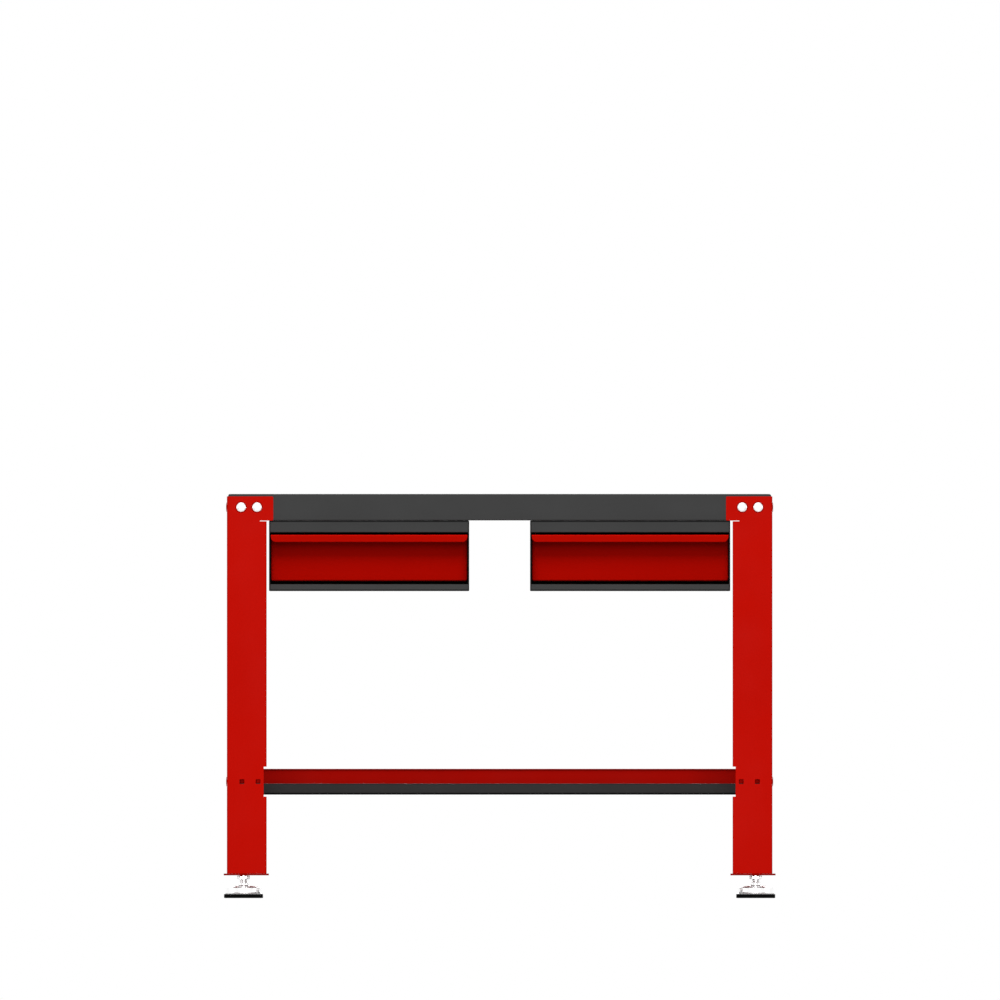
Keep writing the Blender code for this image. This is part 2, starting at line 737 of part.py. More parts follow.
def drawer_box_mesh():
    """An open tray with a hem turned in along its rim."""

    def ring(inset, z, radius):
        half = DRAWER_WIDTH / 2 - inset
        y_limits = (DRAWER_FRONT_Y + inset, DRAWER_FRONT_Y + DRAWER_LENGTH - inset)
        return rectangle((-half, half), y_limits, z, radius)

    bend = DRAWER_EDGE_RADIUS
    sheet = DRAWER_SHEET
    body = loft(
        [
            ring(bend, DRAWER_BOTTOM_Z, 0.004),
            ring(0, DRAWER_BOTTOM_Z + bend, 0.004),
            ring(0, DRAWER_TOP_Z, 0.004),
            ring(DRAWER_HEM, DRAWER_TOP_Z, 0.002),
            ring(DRAWER_HEM, DRAWER_TOP_Z - sheet, 0.002),
            ring(sheet, DRAWER_TOP_Z - sheet, 0.003),
            ring(sheet, DRAWER_BOTTOM_Z + bend, 0.003),
            ring(bend, DRAWER_BOTTOM_Z + sheet, 0.003),
        ]
    )
    rod = turned([(SMALL_HOLE_RADIUS, 0.0), (SMALL_HOLE_RADIUS, -PAST)], 12)
    holes = [along_y(rod, x, FRONT_PANEL_Y, z) for x, z in front_screw_places(0.0)]
    return combined(as_mesh("drawer_box", body), grouped(holes), "DIFFERENCE")


def runner_shape(member, side, setback):
    """One channel of a telescopic runner, along Y, on one side of a drawer's centre."""
    half, web, tip = member
    mid = RUNNER_SHEET / 2
    high = half - mid
    path = [(side * tip, -high), (side * web, -high), (side * web, high), (side * tip, high)]
    outline = folded(path, RUNNER_SHEET, RUNNER_SHEET, steps=2)
    front = RUNNER_FRONT_Y + setback
    return prism(outline, "Y", front, front + RUNNER_LENGTH - setback)


def make_drawers():
    front = drawer_front_mesh()
    drawer_box = drawer_box_mesh()
    for name, side in (("left", -1), ("right", 1)):
        centre = (side * HOUSING_X, 0, 0)
        drawer_axis = axis_empty(name + "_drawer_axis", centre)
        middle_axis = axis_empty(name + "_runner_axis", centre)
        place(name + "_drawer_box", drawer_box, "charcoal_powder_coat", centre, parent=drawer_axis)
        place(name + "_drawer_front", front, "red_powder_coat", centre, parent=drawer_axis)
        for where, hand in (("left", -1), ("right", 1)):
            members = (
                ("outer", RUNNER_OUTER, None),
                ("middle", RUNNER_MIDDLE, middle_axis),
                ("inner", RUNNER_INNER, drawer_axis),
            )
            for (kind, member, parent), setback in zip(members, RUNNER_SETBACKS):
                label = f"{name}_drawer_{where}_runner_{kind}"
                shape = shifted(runner_shape(member, hand, setback), 0, 0, RUNNER_Z)
                place(label, as_mesh(label, shape), "runner_steel", centre, parent=parent)


def clear_scene():
    for item in list(bpy.data.objects):
        bpy.data.objects.remove(item)


def main():
    clear_scene()
    make_legs_and_feet()
    make_front_bolts()
    make_worktop()
    make_lower_frame()
    make_housings()
    make_drawers()


main()
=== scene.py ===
import json
import math

import bmesh
import bpy
from mathutils import Matrix, Vector

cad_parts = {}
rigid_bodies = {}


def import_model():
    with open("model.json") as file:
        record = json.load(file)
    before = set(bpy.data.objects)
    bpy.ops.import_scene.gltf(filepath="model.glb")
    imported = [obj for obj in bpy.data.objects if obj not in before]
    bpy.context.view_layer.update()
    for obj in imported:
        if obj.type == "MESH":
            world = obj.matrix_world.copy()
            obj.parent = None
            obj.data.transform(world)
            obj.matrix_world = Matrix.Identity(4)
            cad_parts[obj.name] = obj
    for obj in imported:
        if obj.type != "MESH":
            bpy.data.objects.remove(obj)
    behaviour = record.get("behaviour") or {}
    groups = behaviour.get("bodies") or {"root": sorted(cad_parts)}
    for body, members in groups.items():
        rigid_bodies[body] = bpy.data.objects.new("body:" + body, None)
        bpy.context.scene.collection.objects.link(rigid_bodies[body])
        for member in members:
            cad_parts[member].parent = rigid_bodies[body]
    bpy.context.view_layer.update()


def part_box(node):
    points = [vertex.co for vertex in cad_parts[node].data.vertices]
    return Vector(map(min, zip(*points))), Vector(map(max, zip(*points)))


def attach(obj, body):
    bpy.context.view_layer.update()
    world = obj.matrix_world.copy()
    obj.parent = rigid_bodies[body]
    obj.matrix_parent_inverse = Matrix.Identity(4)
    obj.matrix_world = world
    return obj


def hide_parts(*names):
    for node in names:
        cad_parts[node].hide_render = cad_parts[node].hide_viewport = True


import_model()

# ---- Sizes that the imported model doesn't state ----
MM = 0.001
LEG_SHEET = 2.5 * MM
LEG_FLANGE = 87.4 * MM
LEG_LIP = 15 * MM
HEAD_CORNER = 3 * MM
CUTTER_PAST = 4 * MM  # how far a cutter reaches past the sheet that it cuts
SLIT_LENGTH = 15 * MM
SLIT_LOW_Z = 829.0 * MM
SLIT_HIGH_Z = 830.5 * MM
NOTCH_DEPTH = 6.5 * MM
NOTCH_Z = (223.3 * MM, 289.1 * MM)
SQUARE_HOLE = 10.4 * MM
LOWER_HOLE_Z = 256.3 * MM
LOWER_HOLES = (33.0 * MM, 68.5 * MM)
SHEET = 1.5 * MM
GAP = 0.3 * MM
TOUCH = 0.02 * MM
PLATE_CORNER = 4 * MM
PLATE_BORE = 8.4 * MM
PAN_EDGE = 4 * MM
PAN_RETURN = 25 * MM
HOUSING_SHEET = 1.2 * MM
HOUSING_HEM = 2.6 * MM
OPENING_Z = (690.7 * MM, 804.8 * MM)
HEM_DEPTH = 9 * MM
BAND_RETURN = 9 * MM
DRAWER_SHEET = 1.0 * MM
FRONT_SHEET = 1.2 * MM
PULL_DEPTH = 20 * MM
PULL_HEIGHT = 16 * MM
PULL_RADIUS = 12 * MM
BOLT_HEIGHT = 5 * MM
PAINTED_HEAD_HEIGHT = 1.8 * MM
PAINTED_HEAD_RADIUS = 10.5 * MM
BOLT_NECK = 4.9 * MM
BOLT_SHANK = 4.6 * MM
BOLT_LENGTH = 16 * MM
BOLT_HOLE = 5.5 * MM
WASHER_RIM = 1.8 * MM
WASHER_THICKNESS = 0.26 * MM
NUT_BORE = 5 * MM
NUT_FLATS = 17 * MM
NUT_HEIGHT = 8 * MM
SMALL_NUT_FLATS = 10 * MM
SMALL_NUT_BORE = 2.8 * MM
SMALL_NUT_HEIGHT = 5 * MM
SCREW_HEAD = 5.5 * MM
SCREW_SHANK = 2.7 * MM
SCREW_HOLE = 3.1 * MM
SCREW_X = 150 * MM
HOUSING_SCREW_Y = (-280 * MM, 279 * MM)
FRONT_SCREW_Z = (722 * MM, 766 * MM)
THREAD_PITCH = 2 * MM
STRIP_THICKNESS = 0.8 * MM
STRIP_DROP = 2.5 * MM
STRIP_RISE = 0.8 * MM
RUNNER_SHEET = 1.2 * MM
BUFFER = 2.5 * MM
BALL = 2.1 * MM
BALL_PITCH = 9 * MM
BALL_COUNT = 20
BALL_HOLE = BALL / 2 + 0.1 * MM
OUTER_BALLS_START = 20 * MM  # behind the middle of a middle member
INNER_BALLS_START = 30 * MM  # behind its front end
CAGE_WIDTH = 4.2 * MM
CAGE_THICKNESS = 0.5 * MM
STIFFENER_RIM = 18 * MM

CORNERS = (
    ("front_left", -1, -1, 0.0),
    ("front_right", 1, -1, math.pi / 2),
    ("rear_right", 1, 1, math.pi),
    ("rear_left", -1, 1, -math.pi / 2),
)


# ---- Where the frame says things are ----
LEG_LOW, LEG_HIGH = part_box("front_left_leg")
HALF_WIDTH = -LEG_LOW.x
HALF_DEPTH = -LEG_LOW.y
HEAD_FLANGE = LEG_HIGH.x - LEG_LOW.x
PAN_LOW, PAN_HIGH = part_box("worktop_pan")


def middle_of(node):
    low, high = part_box(node)
    return (low + high) / 2


UPPER_HOLES = tuple(middle_of(f"front_left_{w}_bolt").x + HALF_WIDTH for w in ("outer", "inner"))
UPPER_HOLE_Z = middle_of("front_left_outer_bolt").z
BOLT_RADIUS = (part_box("front_left_outer_bolt")[1].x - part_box("front_left_outer_bolt")[0].x) / 2


# ---- Shapes: each is a list of points and a list of faces ----
def loft(rings, closed=False):
    """A body through rings with equal numbers of points. It has two end caps, or is closed on itself."""
    count = len(rings[0])
    points = [Vector(p) for ring in rings for p in ring]
    pairs = [(i, i + 1) for i in range(len(rings) - 1)]
    if closed:
        pairs.append((len(rings) - 1, 0))
    faces = []
    for a, b in pairs:
        for k in range(count):
            n = (k + 1) % count
            faces.append((a * count + k, a * count + n, b * count + n, b * count + k))
    if not closed:
        faces.append(tuple(reversed(range(count))))
        faces.append(tuple((len(rings) - 1) * count + k for k in range(count)))
    return points, faces


def prism(outline, axis, low, high):
    """An outline swept along X, Y or Z. Its points' two numbers are the other two axes in order."""

    def at(point, level):
        row = list(point)
        row.insert("XYZ".index(axis), level)
        return row

    return loft([[at(p, low) for p in outline], [at(p, high) for p in outline]])


def box(low, high):
    corners = [(low[0], low[1]), (high[0], low[1]), (high[0], high[1]), (low[0], high[1])]
    return prism(corners, "Z", low[2], high[2])


def circle(radius, z, sides):
    turn = 2 * math.pi / sides
    return [(radius * math.cos(k * turn), radius * math.sin(k * turn), z) for k in range(sides)]


def turned(profile, sides):
    """A body turned about Z through (radius, height) points, none of them on the axis."""
    return loft([circle(radius, z, sides) for radius, z in profile])


def rounded(x, z, radius, steps=5):
    """A rectangle between the limits x and z as (x, z) points, with rounded corners."""
    ring = []
    corners = ((x[1], z[1], 1, 1), (x[0], z[1], -1, 1), (x[0], z[0], -1, -1), (x[1], z[0], 1, -1))
    for quarter, (cx, cz, sx, sz) in enumerate(corners):
        for k in range(steps + 1):
            angle = math.pi / 2 * (quarter + k / steps)
            across = cx - sx * radius + radius * math.cos(angle)
            up = cz - sz * radius + radius * math.sin(angle)
            ring.append((across, up))
    return ring


def level_ring(x, y, z, radius):
    return [(px, py, z) for px, py in rounded(x, y, radius)]


def upright_ring(x, z, y, radius):
    return [(px, y, pz) for px, pz in rounded(x, z, radius)]


def folded(path, thickness, radius, steps=7):
    """The outline of a sheet whose mid-line follows a path, with rounded bends."""
    left = []
    right = []
    half = thickness / 2
    points = [Vector(p) for p in path]
    for i, point in enumerate(points):
        before = (point - points[i - 1]).normalized() if i else None
        after = (points[i + 1] - point).normalized() if i + 1 < len(points) else None
        if before is None or after is None:
            along = after or before
            normal = Vector((-along.y, along.x))
            left.append(point + normal * half)
            right.append(point - normal * half)
            continue
        turn = math.atan2(before.x * after.y - before.y * after.x, before.dot(after))
        side = math.copysign(1.0, turn)
        normal = Vector((-before.y, before.x))
        centre = point - before * radius * math.tan(abs(turn) / 2) + normal * side * radius
        for k in range(steps + 1):
            swung = Matrix.Rotation(turn * k / steps, 2) @ normal
            middle = centre - swung * side * radius
            left.append(middle + swung * half)
            right.append(middle - swung * half)
    return [tuple(p) for p in left + right[::-1]]


def bend(start, end, steps=5):
    """Pairs (share of the inset, share of the depth) round a quarter bend, from flat to square on."""
    for k in range(start, end + 1):
        angle = math.pi / 2 * k / steps
        yield 1 - math.sin(angle), 1 - math.cos(angle)


def moved(shape, matrix):
    points, faces = shape
    return [matrix @ p for p in points], faces


def shifted(shape, x, y, z):
    return moved(shape, Matrix.Translation((x, y, z)))


def grouped(shapes):
    points = []
    faces = []
    for more_points, more_faces in shapes:
        start = len(points)
        points.extend(more_points)
        faces.extend(tuple(start + i for i in face) for face in more_faces)
    return points, faces


# ---- Materials ----
class Finish:
    """A Principled material whose colour, roughness and bump come from noise in the piece's own space."""

    def __init__(self, name, metallic=0.0, **constants):
        self.material = bpy.data.materials.new(name)
        self.material.use_nodes = True
        self.tree = self.material.node_tree
        self.shader = self.tree.nodes["Principled BSDF"]
        self.shader.inputs["Metallic"].default_value = metallic
        for socket, value in constants.items():
            self.shader.inputs[socket.replace("_", " ")].default_value = value
        self.place = self.tree.nodes.new("ShaderNodeTexCoord").outputs["Object"]
        self.normal = None

    def node(self, kind, **settings):
        made = self.tree.nodes.new(kind)
        for key, value in settings.items():
            setattr(made, key, value)
        return made

    def link(self, source, target):
        self.tree.links.new(source, target)

    def noise(self, scale, detail=2.0, stretch=(1, 1, 1), roughness=0.5):
        mapping = self.node("ShaderNodeMapping")
        mapping.inputs["Scale"].default_value = stretch
        self.link(self.place, mapping.inputs["Vector"])
        noise = self.node("ShaderNodeTexNoise")
        noise.inputs["Scale"].default_value = scale
        noise.inputs["Detail"].default_value = detail
        noise.inputs["Roughness"].default_value = roughness
        self.link(mapping.outputs["Vector"], noise.inputs["Vector"])
        return noise.outputs["Fac"]

    def spread(self, value, low, high, start=0.3, end=0.7):
        mapped = self.node("ShaderNodeMapRange")
        for socket, number in (("From Min", start), ("From Max", end), ("To Min", low), ("To Max", high)):
            mapped.inputs[socket].default_value = number
        self.link(value, mapped.inputs["Value"])
        return mapped.outputs["Result"]

    def mix(self, factor, first, second):
        mixed = self.node("ShaderNodeMix", data_type="RGBA")
        self.link(factor, mixed.inputs["Factor"])
        for socket, colour in ((mixed.inputs[6], first), (mixed.inputs[7], second)):
            if isinstance(colour, tuple):
                socket.default_value = (*colour, 1.0)
            else:
                self.link(colour, socket)
        return mixed.outputs[2]

    def bump(self, height, strength, distance):
        bump = self.node("ShaderNodeBump")
        bump.inputs["Strength"].default_value = strength
        bump.inputs["Distance"].default_value = distance
        self.link(height, bump.inputs["Height"])
        if self.normal:
            self.link(self.normal, bump.inputs["Normal"])
        self.normal = bump.outputs["Normal"]

    def done(self, colour, roughness):
        self.link(colour, self.shader.inputs["Base Color"])
        self.link(roughness, self.shader.inputs["Roughness"])
        self.link(self.normal, self.shader.inputs["Normal"])
        return self.material


def scaled(colour, factor):
    return tuple(min(1.0, c * factor) for c in colour)


def powder_coat(name, colour, gloss, specular):
    """Baked powder paint: fine orange peel, a faint drift in tone and tiny specks."""
    finish = Finish(name, Specular_IOR_Level=specular)
    drift = finish.spread(finish.noise(3.0, 3.0), 0.0, 1.0)
    tone = finish.mix(drift, scaled(colour, 0.95), scaled(colour, 1.04))
    specks = finish.spread(finish.noise(1400.0, 1.0), 0.0, 0.35, 0.55, 0.8)
    tone = finish.mix(specks, tone, scaled(colour, 0.78))
    finish.bump(finish.noise(420.0, 2.0), 0.18, 0.25 * MM)
    finish.bump(finish.noise(1500.0, 1.0), 0.12, 0.08 * MM)
    sheen = finish.spread(finish.noise(9.0, 4.0), gloss - 0.05, gloss + 0.07)
    return finish.done(tone, sheen)


def zinc(name, colour, gloss, metallic):
    """Bright plating: a faint bloom, and very fine pits."""
    finish = Finish(name, metallic=metallic, Specular_IOR_Level=0.5)
    bloom = finish.spread(finish.noise(60.0, 3.0), 0.0, 1.0)
    tone = finish.mix(bloom, scaled(colour, 0.93), scaled(colour, 1.03))
    finish.bump(finish.noise(900.0, 2.0), 0.08, 0.05 * MM)
    return finish.done(tone, finish.spread(finish.noise(140.0, 3.0), gloss - 0.05, gloss + 0.09))


def drawn_steel(name):
    """Cold-rolled strip with fine lines along its length."""
    finish = Finish(name, metallic=0.8, Specular_IOR_Level=0.5)
    lines = finish.noise(900.0, 2.0, stretch=(1, 0.02, 1))
    tone = finish.mix(finish.spread(lines, 0.0, 1.0), (0.13, 0.13, 0.135), (0.22, 0.22, 0.225))
    finish.bump(lines, 0.10, 0.05 * MM)
    return finish.done(tone, finish.spread(finish.noise(30.0, 3.0), 0.28, 0.42))


def rubber(name):
    finish = Finish(name, Specular_IOR_Level=0.02)
    dust = finish.spread(finish.noise(40.0, 5.0), 0.0, 1.0)
    tone = finish.mix(dust, (0.003, 0.003, 0.003), (0.007, 0.007, 0.007))
    finish.bump(finish.noise(700.0, 3.0), 0.35, 0.2 * MM)
    return finish.done(tone, finish.spread(finish.noise(25.0, 3.0), 0.72, 0.88))


def fibreboard(name):
    """Pressed fibres, darker in flecks."""
    finish = Finish(name, Specular_IOR_Level=0.2)
    fibres = finish.noise(500.0, 5.0, stretch=(1, 1, 3))
    tone = finish.mix(finish.spread(fibres, 0.0, 1.0), (0.26, 0.17, 0.09), (0.45, 0.32, 0.19))
    finish.bump(fibres, 0.4, 0.2 * MM)
    return finish.done(tone, finish.spread(finish.noise(80.0, 3.0), 0.78, 0.92))


RED_COAT = "red_powder_coat"
GREY_COAT = "charcoal_powder_coat"
PLATING = "bright_zinc"
STRIP_STEEL = "runner_steel"
RUBBER = "black_rubber"
BOARD = "fibreboard"
FINISHES = {
    RED_COAT: powder_coat("red_powder_coat_finish", (0.62, 0.0035, 0.0), 0.48, 0.015),
    GREY_COAT: powder_coat("charcoal_powder_coat_finish", (0.0565, 0.0565, 0.0565), 0.52, 0.04),
    PLATING: zinc("bright_zinc_finish", (0.97, 0.97, 0.97), 0.20, 1.0),
    STRIP_STEEL: drawn_steel("runner_steel_finish"),
    RUBBER: rubber("black_rubber_finish"),
    BOARD: fibreboard("fibreboard_finish"),
}
# A shaded copy of the red paint: its darker red is painted shade, used on the base plates and on the
# washers round the bright bolt heads.
SHADED_RED = powder_coat("red_painted_shade_finish", (0.30, 0.0018, 0.0), 0.50, 0.015)


# ---- Pieces ----
def as_mesh(name, shape):
    """A mesh whose faces point out of each of its bodies."""
    mesh = bpy.data.meshes.new(name)
    points, faces = shape
    mesh.from_pydata([tuple(p) for p in points], [], faces)
    fixed = bmesh.new()
    fixed.from_mesh(mesh)
    bmesh.ops.recalc_face_normals(fixed, faces=fixed.faces)
    fixed.to_mesh(mesh)
    fixed.free()
    return mesh


def combined(mesh, shape, operation):
    """The mesh with a shape taken away from it or added to it."""
    work = bpy.data.objects.new("work", mesh)
    tool = bpy.data.objects.new("tool", as_mesh("tool", shape))
    for item in (work, tool):
        bpy.context.collection.objects.link(item)
    step = work.modifiers.new("combine", "BOOLEAN")
    step.solver = "EXACT"
    step.operation = operation
    step.object = tool
    bpy.context.view_layer.update()
    done = work.evaluated_get(bpy.context.evaluated_depsgraph_get())
    result = bpy.data.meshes.new_from_object(done)
    for item in (work, tool):
        bpy.data.objects.remove(item)
    return result


def add_piece(
    name, mesh, slot, body, replaced=(), location=(0, 0, 0), turn=0.0, edge=0.0, angle=32, finish=None
):
    """A finished piece: its material, its rounded edges, its body and the nodes it stands for."""
    piece = bpy.data.objects.new(name, mesh)
    bpy.context.collection.objects.link(piece)
    mesh.materials.clear()
    mesh.materials.append(finish or FINISHES[slot])
    mesh.shade_smooth()
    piece.location = location
    piece.rotation_euler.z = turn
    if edge:
        bevel = piece.modifiers.new("edges", "BEVEL")
        bevel.width = edge
        bevel.segments = 2
        bevel.limit_method = "ANGLE"
        bevel.angle_limit = math.radians(angle)
        bevel.harden_normals = True
    else:
        mesh.set_sharp_from_angle(angle=math.radians(angle))
    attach(piece, body)
    if replaced:
        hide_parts(*replaced)
    return piece


# ---- Legs ----
def leg_section(flange, lip, low, high):
    """An angle with its outer corner at the origin, and a lip on each flange where lip isn't zero."""
    mid = LEG_SHEET / 2
    if lip:
        far = flange - mid
        path = [(lip, far), (mid, far), (mid, mid), (far, mid), (far, lip)]
    else:
        path = [(mid, flange), (mid, mid), (flange, mid)]
    return prism(folded(path, LEG_SHEET, LEG_SHEET), "Z", low, high)


def square_holes(along, z):
    """A cutter through each flange of a leg."""
    reach = CUTTER_PAST
    half = SQUARE_HOLE / 2
    return [
        box((along - half, -reach, z - half), (along + half, reach, z + half)),
        box((-reach, along - half, z - half), (reach, along + half, z + half)),
    ]


def leg_cutters():
    cutters = []
    for along in UPPER_HOLES:
        cutters += square_holes(along, UPPER_HOLE_Z)
    for along in LOWER_HOLES:
        cutters += square_holes(along, LOWER_HOLE_Z)
    reach = CUTTER_PAST
    start = LEG_FLANGE - NOTCH_DEPTH
    end = LEG_FLANGE + reach
    deep = LEG_LIP + reach
    cutters.append(box((start, -reach, NOTCH_Z[0]), (end, deep, NOTCH_Z[1])))
    cutters.append(box((-reach, start, NOTCH_Z[0]), (deep, end, NOTCH_Z[1])))
    return grouped(cutters)


def head_corner_cutters():
    """The small radius on the head's free corners, above and below."""
    radius = HEAD_CORNER
    past = 2 * MM
    steps = 6
    cutters = []
    for z, up in ((LEG_HIGH.z, 1), (SLIT_HIGH_Z, -1)):
        cx = HEAD_FLANGE - radius
        cz = z - up * radius
        outline = [(HEAD_FLANGE + past, cz), (HEAD_FLANGE + past, z + up * past), (cx, z + up * past)]
        for k in range(steps + 1):
            angle = math.pi / 2 * k / steps
            outline.append((cx + radius * math.sin(angle), cz + up * radius * math.cos(angle)))
        cutters.append(prism(outline, "Y", -past, LEG_SHEET + past))
        cutters.append(prism(outline, "X", -past, LEG_SHEET + past))
    return grouped(cutters)


def leg_mesh():
    overlap = 10 * MM
    waist = LEG_FLANGE - SLIT_LENGTH
    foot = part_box("front_left_foot_plate")[1].z + TOUCH
    mesh = as_mesh("leg", leg_section(LEG_FLANGE, LEG_LIP, foot, SLIT_LOW_Z))
    mesh = combined(mesh, leg_section(waist, 0, SLIT_LOW_Z - overlap, SLIT_HIGH_Z + overlap), "UNION")
    mesh = combined(mesh, leg_section(HEAD_FLANGE, 0, SLIT_HIGH_Z, LEG_HIGH.z), "UNION")
    mesh = combined(mesh, head_corner_cutters(), "DIFFERENCE")
    return combined(mesh, leg_cutters(), "DIFFERENCE")


def foot_plate_mesh():
    low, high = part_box("front_left_foot_plate")
    screw_low, screw_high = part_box("front_left_foot_screw")
    centre = (screw_low + screw_high) / 2
    rings = [level_ring((low.x, high.x), (low.y, high.y), z, PLATE_CORNER) for z in (low.z, high.z)]
    hole = turned([(PLATE_BORE, low.z - MM), (PLATE_BORE, high.z + MM)], 36)
    mesh = combined(as_mesh("foot_plate", loft(rings)), shifted(hole, centre.x, centre.y, 0), "DIFFERENCE")
    mesh.transform(Matrix.Translation((HALF_WIDTH, HALF_DEPTH, 0)))
    return mesh


def weld_bead(length):
    """A rippled bead along X, a quarter round in the corner at the origin between +Y and +Z."""
    radius = 2.6 * MM
    ripple = 2.2 * MM
    count = int(length / ripple * 4)
    rings = []
    for i in range(count + 1):
        x = length * i / count
        end = min(1.0, min(x, length - x) / (1.5 * MM) + 0.25)
        swell = radius * end * (1 + 0.10 * abs(math.sin(math.pi * x / ripple)))
        ring = [(x, 0.0, 0.0)]
        for k in range(6):
            angle = math.pi / 2 * k / 5
            ring.append((x, swell * math.cos(angle), swell * math.sin(angle)))
        rings.append(ring)
    return loft(rings)


def make_legs():
    leg = leg_mesh()
    plate = foot_plate_mesh()
    run = 60 * MM
    start = LEG_SHEET + 8 * MM
    bead = shifted(weld_bead(run), start, LEG_SHEET, LEG_LOW.z)
    swap = Matrix(((0, 1, 0, 0), (1, 0, 0, 0), (0, 0, 1, 0), (0, 0, 0, 1)))  # X for Y
    welds = as_mesh("leg_welds", grouped([bead, moved(bead, swap)]))
    for name, side_x, side_y, turn in CORNERS:
        corner = (side_x * HALF_WIDTH, side_y * HALF_DEPTH, 0)
        add_piece(name + "_leg_angle", leg, RED_COAT, "frame", [name + "_leg"], corner, turn, 0.5 * MM)
        cad = [name + "_foot_plate"]
        label = name + "_base_plate"
        # The base plate takes the darker red: painted shade along its edge under the leg.
        add_piece(label, plate, RED_COAT, "frame", cad, corner, turn, 0.6 * MM, finish=SHADED_RED)
        add_piece(name + "_leg_welds", welds, RED_COAT, "frame", location=corner, turn=turn, angle=60)


# ---- Feet ----
def threaded(radius, low, high, depth=0.9 * MM, sides=28):
    """A screw thread about Z: each ring's radius follows the helix, and fades out at both ends."""
    rows_in_pitch = 7
    step = THREAD_PITCH / rows_in_pitch
    count = int((high - low) / step)
    rings = []
    for i in range(count + 1):
        z = low + (high - low) * i / count
        fade = min(1.0, (z - low) / THREAD_PITCH, (high - z) / THREAD_PITCH)
        ring = []
        for k in range(sides):
            angle = 2 * math.pi * k / sides
            phase = (z / THREAD_PITCH - k / sides) % 1.0
            cut = depth * fade * abs(2 * phase - 1)
            ring.append(((radius - cut) * math.cos(angle), (radius - cut) * math.sin(angle), z))
        rings.append(ring)
    return rings


def foot_screw_mesh(low, high, collar_radius, radius):
    """The stem: a round collar on the foot, then thread up through the plate."""
    sides = 28
    collar = low + 5 * MM
    rings = [circle(collar_radius * 0.93, low, sides), circle(collar_radius, low + 0.5 * MM, sides)]
    rings += [circle(collar_radius, collar - 0.6 * MM, sides), circle(collar_radius * 0.9, collar, sides)]
    rings += threaded(radius, collar + 0.2 * MM, high - 1.2 * MM, sides=sides)
    rings.append(circle(radius - 1.3 * MM, high, sides))
    return as_mesh("foot_screw", loft(rings))


def foot_base_mesh(low, high, radius):
    """The pressed cup: a rolled foot, an upright wall, and a shallow dome with a ring round the stem."""
    wall = radius - 2 * MM
    top = high - 3.8 * MM
    profile = [(radius - 0.5 * MM, low), (radius, low + 0.6 * MM), (radius, low + 1.6 * MM)]
    profile += [(radius - 1.2 * MM, low + 2.6 * MM), (wall, low + 4.2 * MM)]
    shoulder = 3 * MM
    for inset, depth in bend(0, 6, 6):
        profile.append((wall - shoulder * depth, top - shoulder * inset))
    dome_start = wall - shoulder
    dome_rise = high - 1.4 * MM - top
    hub = 14 * MM
    steps = 8
    for k in range(1, steps + 1):
        share = k / steps
        r = dome_start + (hub - dome_start) * share
        profile.append((r, top + dome_rise * math.sin(math.pi / 2 * share)))
    profile += [(hub - 1.5 * MM, high - 0.3 * MM), (hub - 2.5 * MM, high), (9 * MM, high)]
    return as_mesh("foot_base", turned(profile, 72))


def foot_pad_mesh(low, high, radius):
    """The moulded pad: ribbed round its side, with rounded rims."""
    rim = 1.2 * MM
    profile = [(radius - 3.0 * MM, low), (radius - 0.8 * MM, low + 0.25 * MM), (radius, low + rim)]
    ribs = 3
    rise = (high - low - 2 * rim) / ribs
    groove = radius - 0.45 * MM
    for k in range(ribs):
        z = low + rim + rise * k
        profile += [(radius, z + rise * 0.55), (groove, z + rise * 0.75), (radius, z + rise * 0.98)]
    profile += [(radius, high - 1.0 * MM), (radius - 0.4 * MM, high - 0.3 * MM), (radius - 1.4 * MM, high)]
    return as_mesh("foot_pad", turned(profile, 72))


def nut_shape(flats, bore, low, high, washer=0.0):
    """A hexagon nut about Z with chamfered corners, and a round washer face below where asked."""
    sides = 36
    chamfer = flats * 0.06

    def ring(z, limit):
        points = []
        for x, y, _ in circle(1.0, z, sides):
            angle = math.atan2(y, x) % (math.pi / 3) - math.pi / 6
            reach = min(flats / 2 / math.cos(angle), limit)
            points.append((x * reach, y * reach, z))
        return points

    wide = flats
    tight = flats / 2 * 1.02
    rings = []
    base = low
    if washer:
        rings += [circle(washer, low, sides), circle(washer, low + 0.8 * MM, sides)]
        rings.append(circle(flats / 2 * 1.08, low + 1.8 * MM, sides))
        base = low + 1.9 * MM
    rings += [ring(base, tight if not washer else wide), ring(base + chamfer, wide)]
    rings += [ring(high - chamfer, wide), ring(high, tight)]
    rings += [circle(bore + 0.5 * MM, high, sides), circle(bore, high - 0.5 * MM, sides)]
    rings += [circle(bore, low + 0.5 * MM, sides), circle(bore + 0.5 * MM, low, sides)]
    return loft(rings, closed=True)


